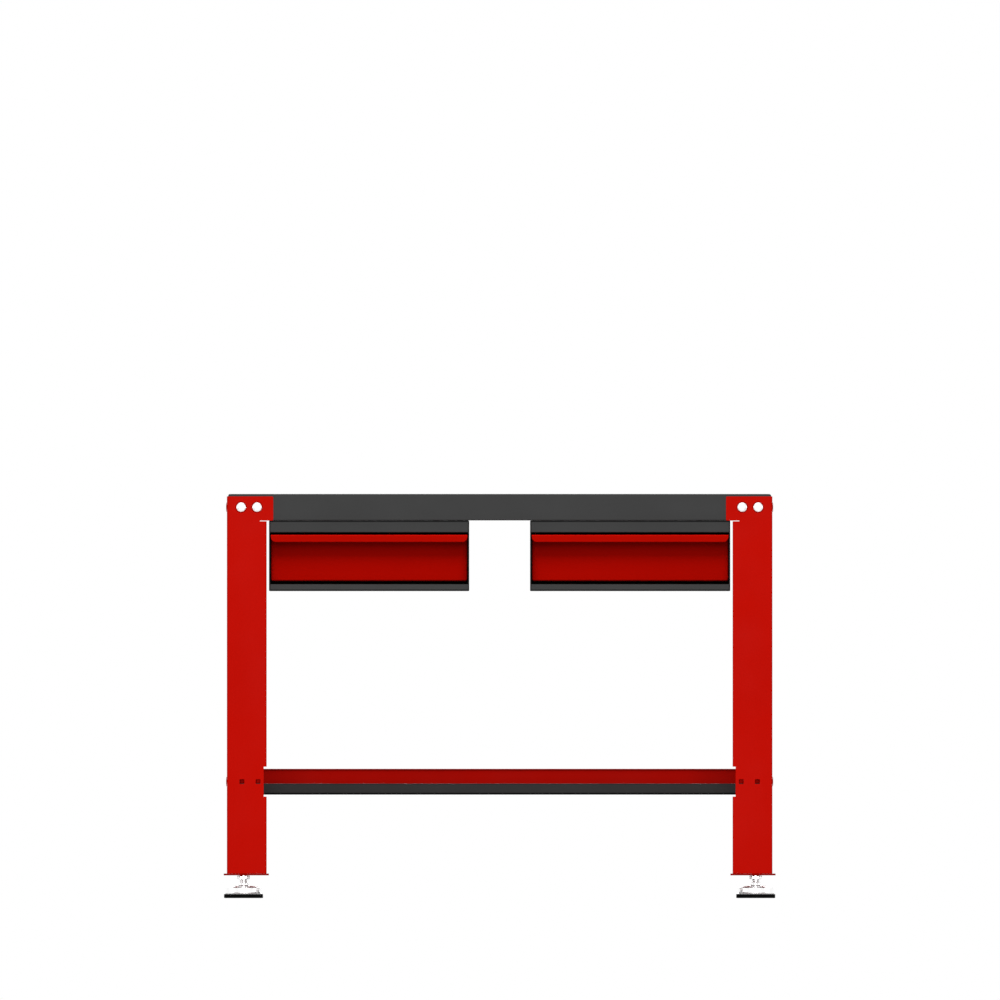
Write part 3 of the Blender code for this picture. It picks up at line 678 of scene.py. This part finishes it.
def make_feet():
    first = "front_left_foot_"
    axis = middle_of(first + "screw")
    boxes = {kind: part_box(first + kind) for kind in ("pad", "base", "screw")}
    radius = {kind: high.x - axis.x for kind, (_, high) in boxes.items()}
    pad = foot_pad_mesh(boxes["pad"][0].z, boxes["pad"][1].z, radius["pad"])
    base = foot_base_mesh(boxes["base"][0].z, boxes["base"][1].z, radius["base"])
    stem = radius["screw"] - 3.5 * MM
    screw = foot_screw_mesh(boxes["screw"][0].z, boxes["screw"][1].z, radius["screw"], stem)
    nuts = {}
    for kind in ("lock_nut", "weld_nut"):
        low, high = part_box("front_left_" + kind)
        nuts[kind] = as_mesh(kind, nut_shape(high.y - low.y, stem + 0.2 * MM, low.z, high.z))
    for name, _, _, _ in CORNERS:
        spot = middle_of(name + "_foot_screw")
        spot.z = 0
        for piece, mesh, slot, body, cad, angle in (
            ("_rubber_pad", pad, RUBBER, name + "_foot", "_foot_pad", 50),
            ("_domed_base", base, PLATING, name + "_foot", "_foot_base", 50),
            ("_stem", screw, PLATING, name + "_screw", "_foot_screw", 40),
            ("_locking_nut", nuts["lock_nut"], PLATING, "frame", "_lock_nut", 30),
            ("_welded_nut", nuts["weld_nut"], RED_COAT, "frame", "_weld_nut", 30),
        ):
            add_piece(name + piece, mesh, slot, body, [name + cad], spot, angle=angle)


# ---- Bolts ----
def bolt_shape(radius, height):
    """A domed bolt about Z: its head stands on z = 0, and its neck and shank run down."""
    sides = 32
    rim = 0.7 * MM
    rings = []
    steps = 7
    for k in range(steps):
        angle = math.pi / 2 * (k + 0.35) / steps
        rings.append(circle(radius * math.sin(angle), rim + (height - rim) * math.cos(angle) ** 0.8, sides))
    rings += [circle(radius, rim * 0.8, sides), circle(radius - 0.2 * MM, 0.3 * MM, sides)]
    neck = []
    for z in (0.3 * MM, -LEG_SHEET):
        ring = []
        for x, y, _ in circle(1.0, z, sides):
            reach = BOLT_NECK / max(abs(x), abs(y))
            ring.append((x * reach, y * reach, z))
        neck.append(ring)
    rings += neck
    rings += [circle(BOLT_SHANK, -LEG_SHEET, sides), circle(BOLT_SHANK, -BOLT_LENGTH + MM, sides)]
    rings.append(circle(BOLT_SHANK - MM, -BOLT_LENGTH, sides))
    return loft(rings)


def shadow_ring_washer(radius):
    """A thin washer in the darker red: the dark ring it shows round a bright head is painted shade, the
    contact shadow of the head.
    """
    outer = radius + WASHER_RIM
    inner = radius - 2 * MM
    chamfer = 0.12 * MM
    top = WASHER_THICKNESS
    rim = [(outer, TOUCH), (outer, top - chamfer), (outer - chamfer, top)]
    hole = turned([(inner, -MM), (inner, MM)], 48)
    return combined(as_mesh("washer", turned(rim, 48)), hole, "DIFFERENCE")


def frame_nut():
    seat = -(LEG_SHEET + GAP + SHEET + 0.1 * MM)
    upright = nut_shape(NUT_FLATS, NUT_BORE, 0, NUT_HEIGHT, washer=NUT_FLATS / 2)
    turned_over = Matrix.Translation((0, 0, seat)) @ Matrix.Rotation(math.pi, 4, "X")
    return moved(upright, turned_over)


def face_matrix(face, side_x, side_y, along, z):
    """Stands Z on a leg's outer face: "Y" is a front or rear face, "X" an end face."""
    if face == "Y":
        outward = Matrix.Rotation(-side_y * math.pi / 2, 4, "X")
        spot = (side_x * (HALF_WIDTH - along), side_y * HALF_DEPTH, z)
    else:
        outward = Matrix.Rotation(side_x * math.pi / 2, 4, "Y")
        spot = (side_x * HALF_WIDTH, side_y * (HALF_DEPTH - along), z)
    return Matrix.Translation(spot) @ outward


def on_face(shape, *place):
    return moved(shape, face_matrix(*place))


def make_bolts():
    plain = bolt_shape(BOLT_RADIUS, BOLT_HEIGHT)
    painted = bolt_shape(PAINTED_HEAD_RADIUS, PAINTED_HEAD_HEIGHT)
    nut = frame_nut()
    washer = shadow_ring_washer(BOLT_RADIUS)
    upper = [(along, UPPER_HOLE_Z, "upper") for along in UPPER_HOLES]
    lower = [(along, LOWER_HOLE_Z, "lower") for along in LOWER_HOLES]
    for name, side_x, side_y, _ in CORNERS:
        jobs = [("Y", plain, PLATING, upper), ("X", painted, RED_COAT, upper + lower)]
        if side_y > 0:
            jobs.append(("Y", painted, RED_COAT, lower))
        for face, bolt, slot, holes in jobs:
            for number, (along, z, level) in enumerate(holes):
                way = "end" if face == "X" else "face"
                where = "inner" if number % 2 else "outer"
                label = f"{name}_{level}_{way}_{where}"
                cad = f"{name}_{where}_bolt"
                replaced = [cad] if face == "Y" and side_y < 0 else []
                place = (face, side_x, side_y, along, z)
                mesh = as_mesh(label, on_face(bolt, *place))
                add_piece(label + "_bolt_head", mesh, slot, "frame", replaced, angle=40)
                # Round each bright head goes a darker red washer whose ring is painted shade: the head's
                # contact shadow.
                if slot == PLATING:
                    mesh = washer.copy()
                    mesh.transform(face_matrix(*place))
                    add_piece(label + "_washer", mesh, RED_COAT, "frame", angle=40, finish=SHADED_RED)
                mesh = as_mesh(label + "_nut", on_face(nut, *place))
                add_piece(label + "_nut", mesh, slot, "frame", angle=30)


# ---- Worktop ----
def inset_ring(low, high, inset, z, radius):
    """A level ring inside a box's outline."""
    return level_ring((low.x + inset, high.x - inset), (low.y + inset, high.y - inset), z, radius)


def pan_ring(inset, z, radius):
    return inset_ring(PAN_LOW, PAN_HIGH, inset, z, radius)


def round_hole(face, side_x, side_y, along, z):
    rod = turned([(BOLT_HOLE, 2 * MM), (BOLT_HOLE, -8 * MM)], 32)
    return on_face(rod, face, side_x, side_y, along, z)


def housing_screw_places():
    return [
        (middle_of(side + "_drawer_housing").x + offset, y)
        for side in ("left", "right")
        for offset in (-SCREW_X, SCREW_X)
        for y in HOUSING_SCREW_Y
    ]


def housing_screw_holes():
    rod = turned([(SCREW_HOLE, PAN_LOW.z - CUTTER_PAST), (SCREW_HOLE, PAN_LOW.z + CUTTER_PAST)], 20)
    return [shifted(rod, x, y, 0) for x, y in housing_screw_places()]


def worktop_pan_mesh():
    """A tray turned upside down, with rounded edges and a return flange along its lower edge."""
    low = PAN_LOW.z
    top = PAN_HIGH.z
    corner = 5 * MM
    fold = 3.2 * MM
    rings = []
    for inset, depth in bend(0, 5):
        rings.append(pan_ring(PAN_EDGE * inset, top - PAN_EDGE * depth, corner))
    for inset, depth in bend(0, 5):
        rings.append(pan_ring(fold * depth, low + fold * inset, corner - fold * depth * 0.5))
    rings.append(pan_ring(PAN_RETURN, low, 2 * MM))
    rings.append(pan_ring(PAN_RETURN, low + SHEET, 2 * MM))
    inner = fold - SHEET
    for inset, depth in bend(0, 5):
        rings.append(pan_ring(SHEET + inner * inset, low + SHEET + inner * depth, corner - SHEET))
    inner = PAN_EDGE - SHEET
    for inset, depth in bend(0, 5):
        rings.append(pan_ring(SHEET + inner * depth, top - PAN_EDGE + inner * (1 - inset), corner - SHEET))
    holes = [
        round_hole(face, side_x, side_y, along, UPPER_HOLE_Z)
        for _, side_x, side_y, _ in CORNERS
        for along in UPPER_HOLES
        for face in ("X", "Y")
    ]
    holes += housing_screw_holes()
    return combined(as_mesh("worktop_pan", loft(rings)), grouped(holes), "DIFFERENCE")


def make_worktop():
    mesh = worktop_pan_mesh()
    add_piece("worktop_sheet", mesh, GREY_COAT, "frame", ["worktop_pan"], edge=0.25 * MM, angle=40)


# ---- Lower frame and shelf ----
def rail_outline(web, tip, low, high):
    mid = SHEET / 2
    web += math.copysign(mid, tip - web)
    path = [(tip, low + mid), (web, low + mid), (web, high - mid), (tip, high - mid)]
    return folded(path, SHEET, SHEET * 1.4)


def side_rail_mesh(node, side_x):
    low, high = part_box(node)
    web, tip = (low.x, high.x) if side_x < 0 else (high.x, low.x)
    body = prism(rail_outline(web, tip, low.z, high.z), "Y", low.y, high.y)
    holes = [round_hole("X", side_x, side_y, a, LOWER_HOLE_Z) for side_y in (-1, 1) for a in LOWER_HOLES]
    return combined(as_mesh(node, body), grouped(holes), "DIFFERENCE")


def stringer_mesh():
    low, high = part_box("rear_stringer")
    body = prism(rail_outline(high.y, low.y, low.z, high.z), "X", low.x, high.x)
    holes = [round_hole("Y", side_x, 1, a, LOWER_HOLE_Z) for side_x in (-1, 1) for a in LOWER_HOLES]
    return combined(as_mesh("rear_stringer", body), grouped(holes), "DIFFERENCE")


def shelf_mesh():
    """An upside-down tray with rounded edges and a return along its lower edge."""
    low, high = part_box("lower_shelf")
    edge = 3 * MM
    fold = 3.6 * MM
    back = 12 * MM

    def ring(inset, z, radius):
        return inset_ring(low, high, inset, z, radius)

    rings = [ring(edge * i, high.z - edge * d, 4 * MM) for i, d in bend(0, 5)]
    rings += [ring(fold * d, low.z + fold * i, 4 * MM - fold * d * 0.5) for i, d in bend(0, 5)]
    rings += [ring(back, low.z, 2 * MM), ring(back, low.z + SHEET, 2 * MM)]
    inner = fold - SHEET
    rings += [ring(SHEET + inner * i, low.z + SHEET + inner * d, 2.5 * MM) for i, d in bend(0, 5)]
    inner = edge - SHEET
    rings += [ring(SHEET + inner * d, high.z - edge + inner * (1 - i), 2.5 * MM) for i, d in bend(0, 5)]
    return as_mesh("lower_shelf", loft(rings))


def make_lower_frame():
    for side, sign in (("left", -1), ("right", 1)):
        node = side + "_side_rail"
        mesh = side_rail_mesh(node, sign)
        add_piece(side + "_lower_rail", mesh, RED_COAT, "frame", [node], edge=0.35 * MM)
    add_piece("rear_lower_rail", stringer_mesh(), RED_COAT, "frame", ["rear_stringer"], edge=0.35 * MM)
    add_piece("shelf_tray", shelf_mesh(), GREY_COAT, "frame", ["lower_shelf"], edge=0.25 * MM, angle=40)
    # A thin black strip under the front edge of the shelf, in the rubber finish: painted shade, the dark
    # line below the flange's hem.
    low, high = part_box("lower_shelf")
    lower = (low.x, low.y - STRIP_THICKNESS, low.z - STRIP_DROP)
    upper = (high.x, low.y - TOUCH, low.z + STRIP_RISE)
    strip = as_mesh("strip", box(lower, upper))
    add_piece("shelf_edge_strip", strip, RUBBER, "frame", edge=0.2 * MM)


# ---- Drawer housings ----
def housing_shell_mesh(node):
    """A box open to the front, with a rolled hem round its mouth."""
    low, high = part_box(node)
    top = PAN_LOW.z - TOUCH
    edge = 2 * MM
    hem = HOUSING_HEM / 2

    def ring(inset, y, radius):
        return upright_ring((low.x + inset, high.x - inset), (low.z + inset, top - inset), y, radius)

    rings = [ring(edge, high.y, MM)]
    rings += [ring(edge * (1 - d), high.y - edge * (1 - i), edge) for i, d in reversed(list(bend(0, 4, 4)))]
    for k in range(9):
        angle = math.pi * k / 8
        rings.append(ring(hem - hem * math.cos(angle), low.y + hem - hem * math.sin(angle), edge))
    rings.append(ring(HOUSING_HEM, low.y + HEM_DEPTH, edge))
    rings.append(ring(HOUSING_SHEET, low.y + HEM_DEPTH + MM, edge))
    rings.append(ring(HOUSING_SHEET, high.y - edge, edge))
    rings.append(ring(edge, high.y - HOUSING_SHEET, MM))
    return combined(as_mesh(node, loft(rings)), grouped(housing_screw_holes()), "DIFFERENCE")


def housing_band_mesh(node, low_z, high_z):
    """One of the folded strips that close the mouth above and below the drawer."""
    low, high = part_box(node)
    mid = HOUSING_SHEET / 2
    front = low.y + mid
    back = front + BAND_RETURN
    path = [(back, low_z + mid), (front, low_z + mid), (front, high_z - mid), (back, high_z - mid)]
    inset = HOUSING_HEM + TOUCH
    outline = folded(path, HOUSING_SHEET, HOUSING_SHEET)
    return as_mesh(node, prism(outline, "X", low.x + inset, high.x - inset))


def make_housings():
    for side in ("left", "right"):
        node = side + "_drawer_housing"
        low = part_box(node)[0]
        inside = HOUSING_HEM + TOUCH
        add_piece(side + "_housing_shell", housing_shell_mesh(node), GREY_COAT, "frame", [node], angle=50)
        bands = (("upper", OPENING_Z[1], PAN_LOW.z - inside), ("lower", low.z + inside, OPENING_Z[0]))
        for where, low_z, high_z in bands:
            mesh = housing_band_mesh(node, low_z, high_z)
            add_piece(f"{side}_housing_{where}_band", mesh, GREY_COAT, "frame", [node], edge=0.25 * MM)


# ---- Drawers ----
def corner_cutter(side, half, low, radius, y_low, y_high):
    """What a rounded lower corner leaves out, as a prism along Y."""
    steps = 12
    past = 2 * MM
    cx = side * (half - radius)
    cz = low + radius
    outline = [(side * (half + past), cz), (side * (half + past), low - past), (cx, low - past)]
    for k in range(steps + 1):
        angle = math.pi / 2 * k / steps
        outline.append((cx + side * radius * math.sin(angle), cz - radius * math.cos(angle)))
    return prism(outline, "Y", y_low, y_high)


def drawer_front_mesh():
    """A pressed panel with rounded sides and foot, and the pull lip: a ledge forward, a drop and a hem."""
    low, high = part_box("left_drawer_front")
    half = (high.x - low.x) / 2
    sheet = FRONT_SHEET
    panel_y = low.y + PULL_DEPTH
    edge = 3.4 * MM
    depth_in = 4.2 * MM
    top = high.z - sheet * 0.4

    def ring(inset, y, radius):
        return upright_ring((-half + inset, half - inset), (low.z + inset, top - inset), y, radius)

    rings = [ring(edge * i, panel_y + edge * d, max(4.5 * MM - edge * i, MM)) for i, d in bend(0, 6, 6)]
    rings += [ring(0, panel_y + depth_in, 4.5 * MM), ring(sheet, panel_y + depth_in, 3.3 * MM)]
    inner = edge - sheet
    rings += [
        ring(sheet + inner * i, panel_y + edge - inner * (1 - d), max(3.3 * MM - inner * i, 0.9 * MM))
        for i, d in reversed(list(bend(0, 6, 6)))
    ]
    panel = as_mesh("drawer_front", loft(rings))
    mid = sheet / 2
    lip_low = high.z - PULL_HEIGHT
    hem = 1.7 * MM
    path = [
        (panel_y + 3 * MM, high.z - mid),
        (low.y + mid, high.z - mid),
        (low.y + mid, lip_low + mid),
        (low.y + mid + hem, lip_low + mid),
        (low.y + mid + hem, lip_low + 8 * MM),
    ]
    lip = as_mesh("pull_lip", prism(folded(path, sheet, hem / 2), "X", -half, half))
    between = (panel_y + low.y) / 2
    cutters = [corner_cutter(s, half, lip_low, PULL_RADIUS, low.y - 2 * MM, between) for s in (-1, 1)]
    lip = combined(lip, grouped(cutters), "DIFFERENCE")
    lip_points = [v.co.copy() for v in lip.vertices]
    lip_faces = [tuple(f.vertices) for f in lip.polygons]
    return combined(panel, (lip_points, lip_faces), "UNION")


def drawer_box_mesh(node):
    """An open tray with a rolled rim, built about its own middle in X."""
    low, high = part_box(node)
    middle = (low.x + high.x) / 2
    sheet = DRAWER_SHEET
    foot = 3 * MM
    rim = 2.2 * MM
    hem = 6 * MM

    def ring(inset, z, radius):
        x = (low.x - middle + inset, high.x - middle - inset)
        return level_ring(x, (low.y + inset, high.y - inset), z, radius)

    rings = [ring(foot * i, low.z + foot * d, 4 * MM) for i, d in bend(0, 5)]
    rings += [ring(rim * d, high.z - rim * i, 4 * MM - rim * d * 0.4) for i, d in bend(0, 5)]
    rings += [ring(hem, high.z, 2 * MM), ring(hem + 0.5 * MM, high.z - 0.5 * MM, 2 * MM)]
    rings += [ring(hem, high.z - sheet, 2 * MM)]
    inner = rim - sheet
    rings += [ring(sheet + inner * i, high.z - sheet - inner * d, 3 * MM) for i, d in bend(0, 5)]
    inner = foot - sheet
    rings += [ring(sheet + inner * d, low.z + sheet + inner * i, 3 * MM) for i, d in bend(0, 5)]
    return as_mesh("drawer_box", loft(rings))


def screw_shape(tip):
    """A pan-head screw about Z: the head stands on z = 0 and the shank runs down to the tip."""
    sides = 24
    rings = []
    for k in range(6):
        angle = math.pi / 2 * (k + 0.4) / 6
        rings.append(circle(SCREW_HEAD * math.sin(angle), 0.5 * MM + 2.0 * MM * math.cos(angle), sides))
    seat = 0.1 * MM
    rings.append(circle(SCREW_HEAD, seat, sides))
    rings += [circle(SCREW_SHANK, z, sides) for z in (seat, tip)]
    return loft(rings)


def make_drawers():
    front = drawer_front_mesh()
    tray = drawer_box_mesh("left_drawer_box")
    back_of_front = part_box("left_drawer_front")[0].y + PULL_DEPTH + FRONT_SHEET
    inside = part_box("left_drawer_box")[0].y + DRAWER_SHEET
    screw = moved(screw_shape(back_of_front - inside + 0.2 * MM), Matrix.Rotation(-math.pi / 2, 4, "X"))
    places = [(x, z) for x in (-SCREW_X, SCREW_X) for z in FRONT_SCREW_Z]
    screws = as_mesh("front_screws", grouped([shifted(screw, x, inside, z) for x, z in places]))
    for side in ("left", "right"):
        body = side + "_drawer"
        spot = (middle_of(side + "_drawer_box").x, 0, 0)
        add_piece(body + "_pull_front", front, RED_COAT, body, [body + "_front"], spot, edge=0.3 * MM)
        add_piece(body + "_tray", tray, GREY_COAT, body, [body + "_box"], spot, angle=50)
        add_piece(body + "_front_screws", screws, PLATING, body, location=spot, angle=50)


# ---- Runners ----
def runner_outline(node, hand, kind):
    """A channel's section as (x, z) points. The inner member is open away from the drawer."""
    low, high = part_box(node)
    outer_side = high.x if hand > 0 else low.x
    drawer_side = low.x if hand > 0 else high.x
    web, tip = (drawer_side, outer_side) if kind == "inner" else (outer_side, drawer_side)
    mid = RUNNER_SHEET / 2
    web += math.copysign(mid, tip - web)
    path = [(tip, low.z + mid), (web, low.z + mid), (web, high.z - mid), (tip, high.z - mid)]
    return folded(path, RUNNER_SHEET, RUNNER_SHEET * 1.1, steps=5)


def ball_shape():
    """A ball about the origin."""
    radius = BALL / 2
    rows = 6
    sides = 10
    rings = []
    for k in range(rows):
        angle = math.pi * (k + 0.5) / rows - math.pi / 2
        rings.append(circle(radius * math.cos(angle), radius * math.sin(angle), sides))
    return loft(rings)


def in_row(shape, x, z, start):
    return [shifted(shape, x, start + BALL_PITCH * k, z) for k in range(BALL_COUNT)]


def cage_mesh(x, z, start):
    """The thin strip that keeps a row of balls apart: it runs level through their middles."""
    half_x = CAGE_WIDTH / 2
    half_z = CAGE_THICKNESS / 2
    low_y = start - BALL_PITCH / 2
    high_y = low_y + BALL_PITCH * BALL_COUNT
    strip = as_mesh("cage", box((x - half_x, low_y, z - half_z), (x + half_x, high_y, z + half_z)))
    hole = turned([(BALL_HOLE, -MM), (BALL_HOLE, MM)], 12)
    return combined(strip, grouped(in_row(hole, x, z, start)), "DIFFERENCE")


def make_runner(drawer, where, hand):
    """The three members, the balls between them, and rubber buffers on the front ends of the outer two."""
    label = f"{drawer}_drawer_{where}_runner"
    bodies = {"outer": "frame", "middle": drawer + "_runners", "inner": drawer + "_drawer"}
    for kind, body in bodies.items():
        node = f"{label}_{kind}"
        low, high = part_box(node)
        outline = runner_outline(node, hand, kind)
        setback = 0.0 if kind == "inner" else BUFFER
        mesh = as_mesh(node, prism(outline, "Y", low.y + setback, high.y))
        add_piece(node + "_channel", mesh, STRIP_STEEL, body, [node], edge=0.2 * MM, angle=40)
        if setback:
            mesh = as_mesh(node, prism(outline, "Y", low.y, low.y + setback - TOUCH))
            add_piece(node + "_buffer", mesh, RUBBER, body, [node], edge=0.2 * MM, angle=40)
    node = label + "_middle"
    low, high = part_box(node)
    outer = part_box(label + "_outer")
    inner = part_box(label + "_inner")
    centre = middle_of(node)
    inner_x = (inner[0].x + inner[1].x) / 2 - hand * MM
    outer_x = inner_x + hand * 2 * MM
    rows = (
        ("outer", outer_x, (outer[1].z + high.z - RUNNER_SHEET) / 2, centre.y + OUTER_BALLS_START),
        ("inner", inner_x, (high.z + inner[1].z - RUNNER_SHEET) / 2, low.y + INNER_BALLS_START),
    )
    for row, x, z, start in rows:
        for way, level in (("upper", z), ("lower", 2 * centre.z - z)):
            name = f"{label}_{row}_{way}"
            balls = as_mesh(name, grouped(in_row(ball_shape(), x, level, start)))
            add_piece(name + "_balls", balls, PLATING, bodies["middle"], angle=80)
            add_piece(name + "_cage", cage_mesh(x, level, start), STRIP_STEEL, bodies["middle"])


def make_runners():
    for drawer in ("left", "right"):
        for where, hand in (("left", -1), ("right", 1)):
            make_runner(drawer, where, hand)


# ---- Inside the worktop ----
def make_worktop_inside():
    """The board, the stiffeners that carry it, and the screws that hang the housings."""
    low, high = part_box("worktop_core")
    edge = 0.8 * MM

    def ring(inset, z):
        return inset_ring(low, high, inset, z, 3 * MM)

    rings = [ring(edge, low.z), ring(0, low.z + edge), ring(0, high.z - edge), ring(edge, high.z)]
    add_piece("worktop_board", as_mesh("board", loft(rings)), BOARD, "frame", ["worktop_core"])
    for side in ("left", "middle", "right"):
        node = side + "_stiffener"
        low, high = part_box(node)
        edge_x = (high.x - low.x) / 2
        half = edge_x - STIFFENER_RIM
        top = high.z - SHEET / 2
        foot = low.z + SHEET / 2
        path = [(-edge_x, top), (-half, top), (-half, foot), (half, foot), (half, top), (edge_x, top)]
        mesh = as_mesh(node, prism(folded(path, SHEET, SHEET * 1.2), "Y", low.y, high.y))
        spot = ((low.x + high.x) / 2, 0, 0)
        add_piece(side + "_hat_stiffener", mesh, GREY_COAT, "frame", [node], spot, edge=0.3 * MM)
    head = moved(screw_shape(-SHEET - 2 * MM), Matrix.Rotation(math.pi, 4, "X"))
    nut = nut_shape(SMALL_NUT_FLATS, SMALL_NUT_BORE, SHEET + TOUCH, SHEET + SMALL_NUT_HEIGHT)
    inner_top = PAN_LOW.z - TOUCH - HOUSING_SHEET
    for number, (x, y) in enumerate(housing_screw_places()):
        side = "left" if x < 0 else "right"
        label = f"{side}_housing_screw_{number % 4 + 1}"
        mesh = as_mesh(label, shifted(head, x, y, inner_top))
        add_piece(label, mesh, PLATING, "frame", angle=50)
        mesh = as_mesh(label, shifted(nut, x, y, PAN_LOW.z))
        add_piece(label + "_nut", mesh, PLATING, "frame", angle=30)


# ---- The studio ----
FILL = 0.20  # brightness of the even light from all round


def make_camera():
    """A straight front elevation. The view's centre is a little above the middle of the bench."""
    data = bpy.data.cameras.new("camera")
    data.type = "ORTHO"
    data.ortho_scale = 2.2
    data.clip_end = 50
    camera = bpy.data.objects.new("camera", data)
    camera.location = (0.0008, -5.0, 0.8758)
    camera.rotation_euler = (math.pi / 2, 0, 0)
    bpy.context.collection.objects.link(camera)
    bpy.context.scene.camera = camera


def add_light(name, location, target, size, energy):
    data = bpy.data.lights.new(name, "AREA")
    data.shape = "RECTANGLE"
    data.size, data.size_y = size
    data.energy = energy
    light = bpy.data.objects.new(name, data)
    light.location = location
    light.rotation_euler = (Vector(target) - Vector(location)).to_track_quat("-Z", "Y").to_euler()
    bpy.context.collection.objects.link(light)
    return light


def aim_at(light, pieces, keep_off=False):
    """Only these pieces are in this light. With keep_off, they are what stays out of it."""
    group = bpy.data.collections.new(light.name + "_pieces")
    light.light_linking.receiver_collection = group
    for piece in pieces:
        group.objects.link(piece)
    for entry in group.collection_objects:
        entry.light_linking.link_state = "EXCLUDE" if keep_off else "INCLUDE"


def make_world():
    """White behind everything and in reflections. What lights the bench is a softer even fill."""
    world = bpy.data.worlds.new("studio")
    bpy.context.scene.world = world
    world.use_nodes = True
    tree = world.node_tree
    seen = tree.nodes["Background"]
    seen.inputs["Color"].default_value = (1, 1, 1, 1)
    seen.inputs["Strength"].default_value = 1.0
    lit = tree.nodes.new("ShaderNodeBackground")
    lit.inputs["Color"].default_value = (1, 1, 1, 1)
    lit.inputs["Strength"].default_value = FILL
    path = tree.nodes.new("ShaderNodeLightPath")
    mix = tree.nodes.new("ShaderNodeMixShader")
    tree.links.new(path.outputs["Is Diffuse Ray"], mix.inputs["Fac"])
    tree.links.new(seen.outputs["Background"], mix.inputs[1])
    tree.links.new(lit.outputs["Background"], mix.inputs[2])
    tree.links.new(mix.outputs["Shader"], tree.nodes["World Output"].inputs["Surface"])


def make_floor():
    finish = Finish("floor_finish", Specular_IOR_Level=0.1)
    drift = finish.spread(finish.noise(1.5, 3.0), 0.0, 1.0)
    tone = finish.mix(drift, (0.76, 0.76, 0.76), (0.80, 0.80, 0.80))
    finish.bump(finish.noise(200.0, 2.0), 0.05, 0.1 * MM)
    material = finish.done(tone, finish.spread(finish.noise(5.0, 2.0), 0.75, 0.85))
    half = 6.0
    corners = [(-half, -half, 0), (half, -half, 0), (half, half, 0), (-half, half, 0)]
    mesh = bpy.data.meshes.new("floor")
    mesh.from_pydata(corners, [], [(0, 1, 2, 3)])
    mesh.materials.append(material)
    floor = bpy.data.objects.new("floor", mesh)
    floor.location.z = -0.4 * MM
    floor.visible_diffuse = False
    bpy.context.collection.objects.link(floor)
    return floor


def make_lights(floor):
    """Straight light on the outside, less of it on the rear rail and the shelf and none on the
    housing shells. The drawer fronts have steep and slanting light, and the floor an even one.
    """
    far = {"rear_lower_rail": 184, "shelf_tray": 130}
    fronts = [piece for piece in bpy.data.objects if "pull_front" in piece.name]
    shells = [piece for piece in bpy.data.objects if "housing_shell" in piece.name]
    front = add_light("front_light", (0, -6.0, 0.7), (0, 0, 0.5), (3.0, 2.0), 250)
    aim_at(front, fronts + shells + [floor] + [bpy.data.objects[name] for name in far], keep_off=True)
    for name, power in far.items():
        lower = add_light("lower_light", (0, -6.0, 0.9), (0, 0, 0.3), (3.0, 2.0), power)
        aim_at(lower, [bpy.data.objects[name]])
    steep = add_light("steep_light", (0, -1.8, 4.6), (0, 0, 0.55), (4.0, 1.8), 186)
    aim_at(steep, fronts)
    slanting = add_light("slanting_light", (0, -3.6, 3.0), (0, 0, 0.75), (5.0, 2.5), 32)
    aim_at(slanting, fronts)
    add_light("top_light", (0, 0, 4.0), (0, 0, 0), (4.0, 3.0), 45)
    sky = bpy.data.objects.new("floor_light", bpy.data.lights.new("floor_light", "SUN"))
    sky.data.energy = 2.2
    sky.data.angle = math.radians(75)
    bpy.context.scene.collection.objects.link(sky)
    aim_at(sky, [floor])
    add_light("rear_light", (0, 6.0, 2.0), (0, 0, 0.5), (3.0, 2.0), 150)
    for side in (-1, 1):
        add_light("side_light", (side * 5.0, -1.0, 1.0), (0, 0, 0.5), (2.0, 2.0), 15)


def make_studio():
    bpy.context.scene.view_settings.view_transform = "Standard"
    make_camera()
    make_world()
    make_lights(make_floor())


make_legs()
make_feet()
make_bolts()
make_worktop()
make_lower_frame()
make_housings()
make_drawers()
make_runners()
make_worktop_inside()
make_studio()
